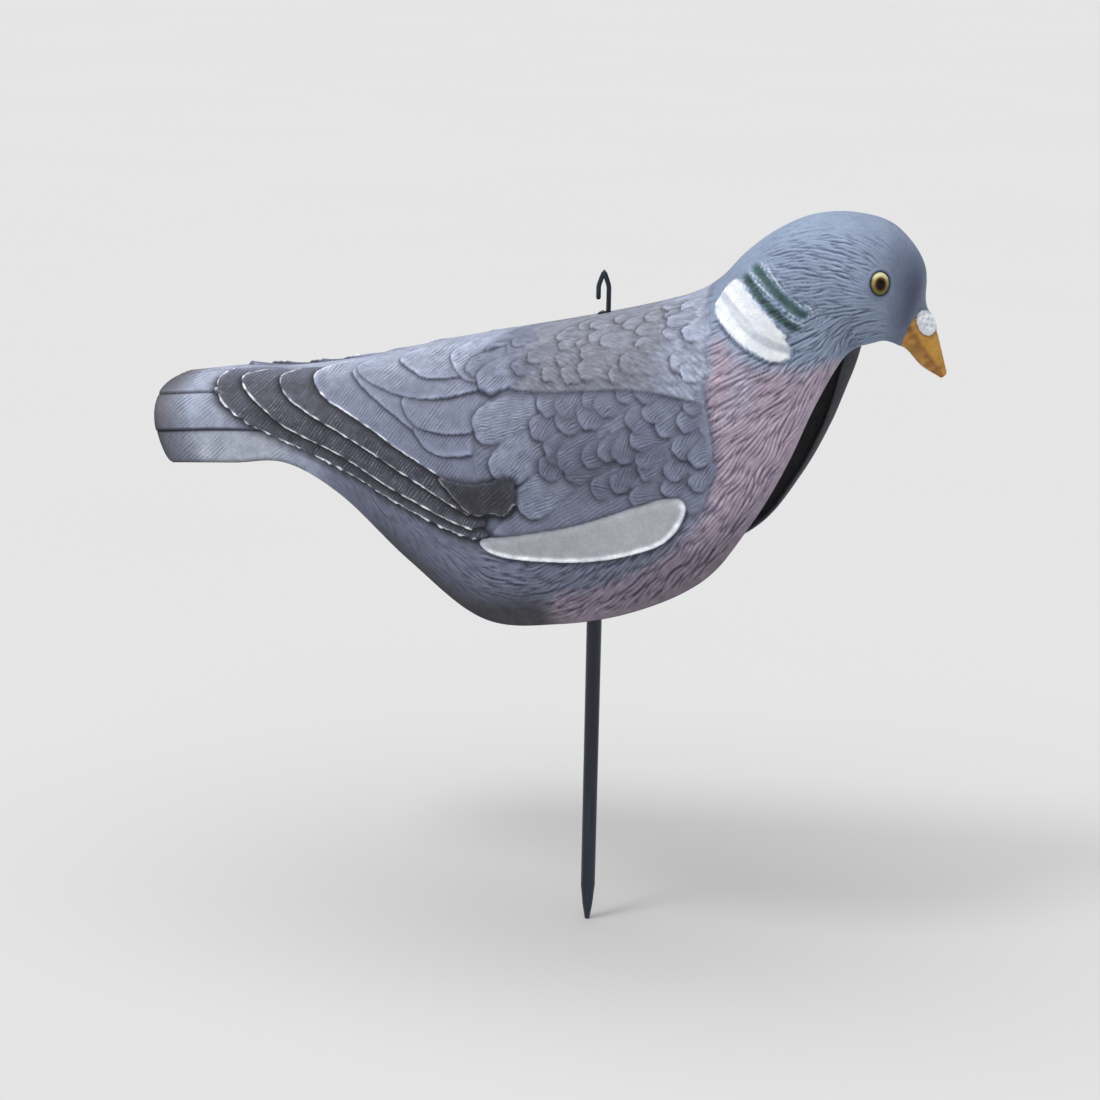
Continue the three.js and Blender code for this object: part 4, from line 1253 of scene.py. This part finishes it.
def painted_skin():
    finish = Finish("painted_plumage", 0.62, 0.35)
    broad = finish.noise(28, 3)
    mottle = finish.noise(160, 4)
    fine = finish.noise(700, 4)
    base = finish.tones((121, 135, 158), (140, 155, 178), broad)
    layers = (
        ("slate", (106, 112, 132), (122, 128, 149), 0.3),
        ("lores", (66, 73, 96), (78, 85, 109), 0.3),
        ("rosy", (149, 134, 150), (171, 157, 172), 0.4),
        ("mantle", (121, 124, 136), (138, 141, 154), 0.3),
        ("pale", (142, 150, 170), (164, 172, 192), 0.3),
        ("soot", (66, 64, 71), (90, 88, 96), 0.4),
        ("dark", (54, 55, 66), (80, 82, 95), 0.3),
        ("enamel", (164, 167, 173), (174, 177, 183), 0.1),
        ("beak", (182, 132, 52), (202, 154, 74), 0.1),
        ("horn", (138, 92, 40), (166, 112, 52), 0.2),
        ("green", (42, 72, 74), (74, 106, 108), 0.5),
        ("white", (208, 214, 222), (232, 235, 237), 0.18),
    )
    for name, deep, high, broken in layers:
        shade = finish.tones(deep, high, mottle)
        base = finish.blend(base, shade, finish.broken(finish.mask(name), mottle, broken))
    wobble = finish.remap(finish.noise(260, 2), 0.3, 0.7, -0.12, 0.12)
    phase = finish.sum("ADD", finish.mask("barb"), wobble)
    turns = finish.times(phase, 2 * math.pi)
    line = finish.remap(finish.sum("SINE", turns, 0.0), -1, 1)
    stroke = finish.node("ShaderNodeTexWhiteNoise", noise_dimensions="1D")
    finish.link(finish.sum("FLOOR", finish.sum("ADD", phase, 0.25), 0.0), stroke.inputs["W"])
    firm = finish.remap(stroke.outputs["Value"], 0, 1, 0.25, 1.15)
    patchy = finish.remap(finish.noise(230, 3), 0.38, 0.6, 0.3, 1.0)
    depth = finish.times(finish.times(finish.mask("barb_depth"), patchy), firm)
    # Painted shade in the barbs' grooves and a painted highlight on their ridges
    groove = finish.times(finish.remap(line, 0.5, 0.0), depth)
    ridge = finish.times(finish.remap(line, 0.6, 1.0), depth)
    base = finish.blend(base, (0.5, 0.5, 0.53, 1), groove, "MULTIPLY")
    base = finish.blend(base, (1.25, 1.25, 1.26, 1), ridge, "MULTIPLY")
    chalk = finish.times(finish.mask("dry"), finish.remap(line, 0.5, 0.95))
    chalk = finish.times(chalk, finish.remap(finish.noise(420, 3), 0.42, 0.62))
    base = finish.blend(base, colour(176, 179, 190), finish.times(chalk, firm))
    # Painted shadows under overhanging edges, in creases and round the eye, and the alula's own
    # dark paint
    base = finish.blend(base, colour(34, 33, 37), finish.times(finish.mask("edge_shadow_and_dark_paint"), 0.85))
    # Darker low on the flanks: airbrushed paint and painted shade
    base = finish.blend(base, (0.42, 0.42, 0.44, 1), finish.mask("dark_airbrush_and_shade"), "MULTIPLY")
    # Painted shade: creases, hollows and the ground just under feather edges are darkened, with
    # some darker tone of the paint on the coverts and patch
    crease_shade_and_tone = finish.times(finish.mask("crease_shade_and_tone"), 0.8)
    base = finish.blend(base, colour(120, 114, 130), crease_shade_and_tone, "MULTIPLY")
    # Painted highlight on the ridges of the relief
    light = finish.times(finish.mask("light"), finish.remap(mottle, 0.3, 0.7, 0.35, 1.0))
    base = finish.blend(base, (1.5, 1.5, 1.52, 1), light, "MULTIPLY")
    base = finish.blend(base, (0.86, 0.86, 0.88, 1), finish.remap(fine, 0.4, 0.7), "MULTIPLY")
    finish.base(base)
    gloss = finish.sum("ADD", finish.mask("beak"), finish.mask("enamel"))
    level = finish.remap(gloss, 0, 1, 0.64, 0.4)
    finish.link(finish.sum("ADD", level, finish.remap(mottle, 0.3, 0.7, -0.05, 0.05)),
                finish.shader.inputs["Roughness"])
    relief = finish.sum("ADD", finish.times(fine, 0.4), finish.times(line, depth))
    finish.grain(relief, 0.00035, 0.6)
    return finish.material


def bare_lining():
    finish = Finish("charcoal_lining", 0.6, 0.4)
    mottle = finish.noise(120, 4)
    fine = finish.noise(900, 3)
    # The rolled lip is lighter than the inside: over the moulding's own charcoal colour, painted
    # light on the lip and painted shade deeper inside
    inside = finish.tones((26, 25, 28), (40, 39, 44), mottle)
    lip = finish.tones((36, 38, 44), (52, 54, 62), mottle)
    finish.base(finish.blend(inside, lip, finish.broken(finish.mask("rim"), mottle, 0.15)))
    finish.grain(fine, 0.0003, 0.3)
    return finish.material


def peg_plastic():
    finish = Finish("blue_black_peg", 0.3, 0.4)
    streaks = finish.noise(240, 4, 0.6, (1, 1, 0.06))
    scuffs = finish.noise(900, 3, 0.7, (1, 1, 0.3))
    finish.base(finish.tones((16, 21, 34), (38, 47, 66), streaks, 0.7))
    level = finish.remap(scuffs, 0.3, 0.7, 0.26, 0.42)
    finish.link(level, finish.shader.inputs["Roughness"])
    finish.grain(streaks, 0.0004, 0.3)
    return finish.material


def glass_eye():
    finish = Finish("olive_eye", 0.5, 0.05)
    finish.shader.inputs["Coat Weight"].default_value = 0.3
    finish.shader.inputs["Coat Roughness"].default_value = 0.05
    rays = finish.noise(900, 4)
    ring = finish.mask("ring")
    shifted = finish.sum("ADD", ring, finish.remap(rays, 0.3, 0.7, -0.03, 0.03))
    ramp = finish.node("ShaderNodeValToRGB")
    stops = (
        (0.0, colour(8, 5, 6)), (0.36, colour(14, 8, 8)), (0.48, colour(74, 38, 24)),
        (0.6, colour(126, 108, 54)), (0.78, colour(186, 174, 118)), (0.92, colour(150, 138, 86)),
        (1.0, colour(92, 86, 56)),
    )
    elements = ramp.color_ramp.elements
    elements[0].color = stops[0][1]
    elements[1].color = stops[-1][1]
    for place, shade in stops[1:-1]:
        elements.new(place).color = shade
    finish.link(shifted, ramp.inputs["Fac"])
    # The iris is darker towards the bottom
    low = finish.times(finish.mask("low"), 0.9)
    iris = finish.blend(ramp.outputs["Color"], colour(150, 152, 104), low, "MULTIPLY")
    # Painted highlight: the top of the iris is painted pale cream
    top = finish.times(finish.remap(low, 0, 0.25, 0.6, 0), finish.remap(ring, 0.58, 0.78))
    finish.base(finish.blend(iris, colour(222, 214, 180), top))
    return finish.material


plumage_paint = painted_skin()
lining_paint = bare_lining()
peg_paint = peg_plastic()
eye_paint = glass_eye()


def dress(piece, material, node):
    piece.data.materials.clear()
    piece.data.materials.append(material)
    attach(piece, "root")
    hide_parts(node)


for piece in skin_pieces:
    dress(piece, plumage_paint, "decoy_shell")
for piece in lining_pieces:
    dress(piece, lining_paint, "decoy_shell")


# Lathe work: a profile of radius and height is spun round the Z axis
def spun(bm, profile, steps):
    verts = [bm.verts.new((r * MM, 0, z * MM)) for r, z in profile]
    edges = [bm.edges.new(pair) for pair in zip(verts, verts[1:])]
    bmesh.ops.spin(bm, geom=[*verts, *edges], cent=(0, 0, 0), axis=(0, 0, 1),
                   angle=2 * math.pi, steps=steps, use_merge=True, use_duplicate=False)
    bmesh.ops.remove_doubles(bm, verts=bm.verts, dist=0.00001)
    bmesh.ops.recalc_face_normals(bm, faces=bm.faces)


def finished(name, bm, smooth_faces=True):
    mesh = bpy.data.meshes.new(name)
    bm.to_mesh(mesh)
    bm.free()
    for polygon in mesh.polygons:
        polygon.use_smooth = smooth_faces
    return added(name, mesh)


def eye(name, side, node):
    bm = bmesh.new()
    foot = -eye_seat + eye_clearance
    arc = [(eye_radius * math.cos(a), mix(-0.3, eye_bulge, math.sin(a)))
           for a in np.linspace(0, math.pi / 2, 14)]
    arc[-1] = (0, eye_bulge)
    spun(bm, [(0, foot), (eye_radius - 0.3, foot), (eye_radius, foot + 0.3), *arc], 48)
    t, v = np.array(eye_place[0]), np.array(side * eye_place[1])
    out = Vector(skin_frame(t, v)[2])
    upright = (Vector((0, 0, 1)) - out * out.z).normalized()
    turn = Matrix((upright.cross(out), upright, out)).transposed().to_4x4()
    ring = bm.verts.layers.float.new("ring")
    low = bm.verts.layers.float.new("low")
    for vert in bm.verts:
        vert[ring] = math.hypot(vert.co.x, vert.co.y) / (eye_radius * MM)
        vert[low] = min(max(0.6 - vert.co.y / (eye_radius * MM), 0), 1)
    bmesh.ops.scale(bm, vec=(eye_wide, eye_tall, 1), verts=bm.verts)
    place = Matrix.Translation(Vector(skin(t, v) * MM))
    bmesh.ops.transform(bm, matrix=place @ turn, verts=bm.verts)
    dress(finished(name, bm), eye_paint, node)


eye("glass_eye_right", -1, "eye_right")
eye("glass_eye_left", 1, "eye_left")


def ground_peg():
    seat = shaft_length - shoulder_height
    bm = bmesh.new()
    shaft = [(mix(shaft_low_radius, shaft_top_radius, f), mix(tip_taper, seat, f))
             for f in np.linspace(0, 1, 12)]
    spun(bm, [
        (0, 0), (tip_radius * 0.75, 0), (tip_radius, 0.5),
        (mix(tip_radius, shaft_low_radius, 0.55), 8), (shaft_low_radius - 0.3, tip_taper - 2.5),
        *shaft, (shaft_top_radius + 0.35, seat + 0.8),
        (shoulder_radius - 0.5, seat + 2.8), (shoulder_radius, seat + 3.6),
        (shoulder_radius, seat + 5.2), (shoulder_radius - 0.5, seat + 6.1),
        (shoulder_radius * 0.62, shaft_length - 1.1), (shoulder_radius * 0.3, shaft_length - 0.3),
        (0, shaft_length),
    ], 40)
    return bm


def wire(bm, places, half, apex=None):
    """A rounded square wire along places in x and z, thicker at its apex"""
    path = [np.array((x + hook_offset, 0, z + shaft_length)) for x, z in places]
    rings = []
    for i, point in enumerate(path):
        ahead = path[min(i + 1, len(path) - 1)] - path[max(i - 1, 0)]
        ahead /= np.linalg.norm(ahead)
        beside = np.array((ahead[2], 0, -ahead[0]))
        grow = 1.3 if i == apex else 1
        shrink = 0.72 if i == len(path) - 1 else 1
        ring = []
        for k in range(12):
            a = 2 * math.pi * k / 12
            ca, sa = math.cos(a), math.sin(a)
            square = 1 / max(abs(ca), abs(sa)) ** 0.45
            offset = beside * ca * half * grow * square * shrink
            offset = offset + np.array((0, 1, 0)) * sa * half * square * shrink
            ring.append(bm.verts.new((point + offset) * MM))
        edges = [bm.edges.new((ring[k], ring[(k + 1) % 12])) for k in range(12)]
        rings.append(edges)
    for a, b in zip(rings, rings[1:]):
        bmesh.ops.bridge_loops(bm, edges=[*a, *b])
    for ends in (rings[0], rings[-1]):
        bmesh.ops.holes_fill(bm, edges=ends, sides=0)


def hook():
    """The barbed hook, bent into a pointed arch, with a small curved foot over the slot"""
    leg, half = hook_spacing / 2, hook_thickness / 2
    top = hook_rise - half - 0.3
    spring = hook_rise - 8
    rise = [(leg, -1.5), (leg, 4), (leg, 10), (leg, spring - 2), (leg, spring - 0.6),
            (leg * 0.86, spring + 0.9), (leg * 0.5, spring + 3.6), (leg * 0.14, top - 0.6)]
    fall = [(-x, z) for x, z in rise[:2:-1]]
    end = [(-leg, spring - barb_length + 0.8), (-leg, spring - barb_length)]
    bm = bmesh.new()
    wire(bm, [*rise, (0, top), *fall, *end], half, apex=len(rise))
    wire(bm, [(leg, 2.6), (leg - 1.2, 3.3), (leg - 2.8, 3.6), (leg - 4.4, 2.7), (leg - 5.4, 1.4)],
         half * 0.75)
    bmesh.ops.recalc_face_normals(bm, faces=bm.faces)
    return bm


for name, bm in (("peg_shaft", ground_peg()), ("peg_hook", hook())):
    piece = finished(name, bm)
    dress(piece, peg_paint, "peg")


# Studio, in metres and degrees: a pale floor, a pale world and two soft suns
floor_radius = 90
lights_aim = (-0.02, 0, 0.25)
camera_turns = (16, 14, 1.17)
camera_target = (-0.023771, 0, 0.192647)
camera_distance = 1.5
field_width = 0.55
film_width = 36


def studio():
    bm = bmesh.new()
    bmesh.ops.create_circle(bm, cap_ends=True, segments=96, radius=floor_radius)
    floor = finished("floor", bm, False)
    finish = Finish("pale_floor", 0.95, 0.05)
    soft = finish.noise(2, 2)
    finish.base(finish.blend(colour(197, 197, 197), colour(199, 199, 199), soft))
    floor.data.materials.append(finish.material)
    world = bpy.data.worlds.new("studio")
    world.use_nodes = True
    background = world.node_tree.nodes["Background"]
    background.inputs["Color"].default_value = (1.0, 1.0, 1.0, 1)
    background.inputs["Strength"].default_value = 0.46
    bpy.context.scene.world = world
    for name, place, spread_of_light, power in (
        ("overhead", (-0.25, -0.3, 1.7), math.radians(85), 2.35),
        ("front_left", (-0.6, -0.75, 1.5), math.radians(16), 0.85),
    ):
        lamp = bpy.data.lights.new(name, "SUN")
        lamp.angle = spread_of_light
        lamp.energy = power
        light = added(name, lamp)
        light.location = place
        aim = Vector(lights_aim) - Vector(place)
        light.rotation_euler = aim.to_track_quat("-Z", "Y").to_euler()


def camera():
    azimuth, elevation, roll = (math.radians(a) for a in camera_turns)
    back = Vector((math.sin(azimuth) * math.cos(elevation),
                   -math.cos(azimuth) * math.cos(elevation), math.sin(elevation)))
    side = Vector((math.cos(azimuth), math.sin(azimuth), 0))
    up = back.cross(side)
    across = side * math.cos(roll) + up * math.sin(roll)
    upright = up * math.cos(roll) - side * math.sin(roll)
    lens = bpy.data.cameras.new("camera")
    lens.sensor_width = film_width
    lens.lens = film_width * camera_distance / field_width
    holder = added("camera", lens)
    placed = Matrix((across, upright, back)).transposed().to_4x4()
    placed.translation = Vector(camera_target) + back * camera_distance
    holder.matrix_world = placed
    bpy.context.scene.camera = holder


studio()
camera()
bpy.context.scene.view_settings.view_transform = "Standard"
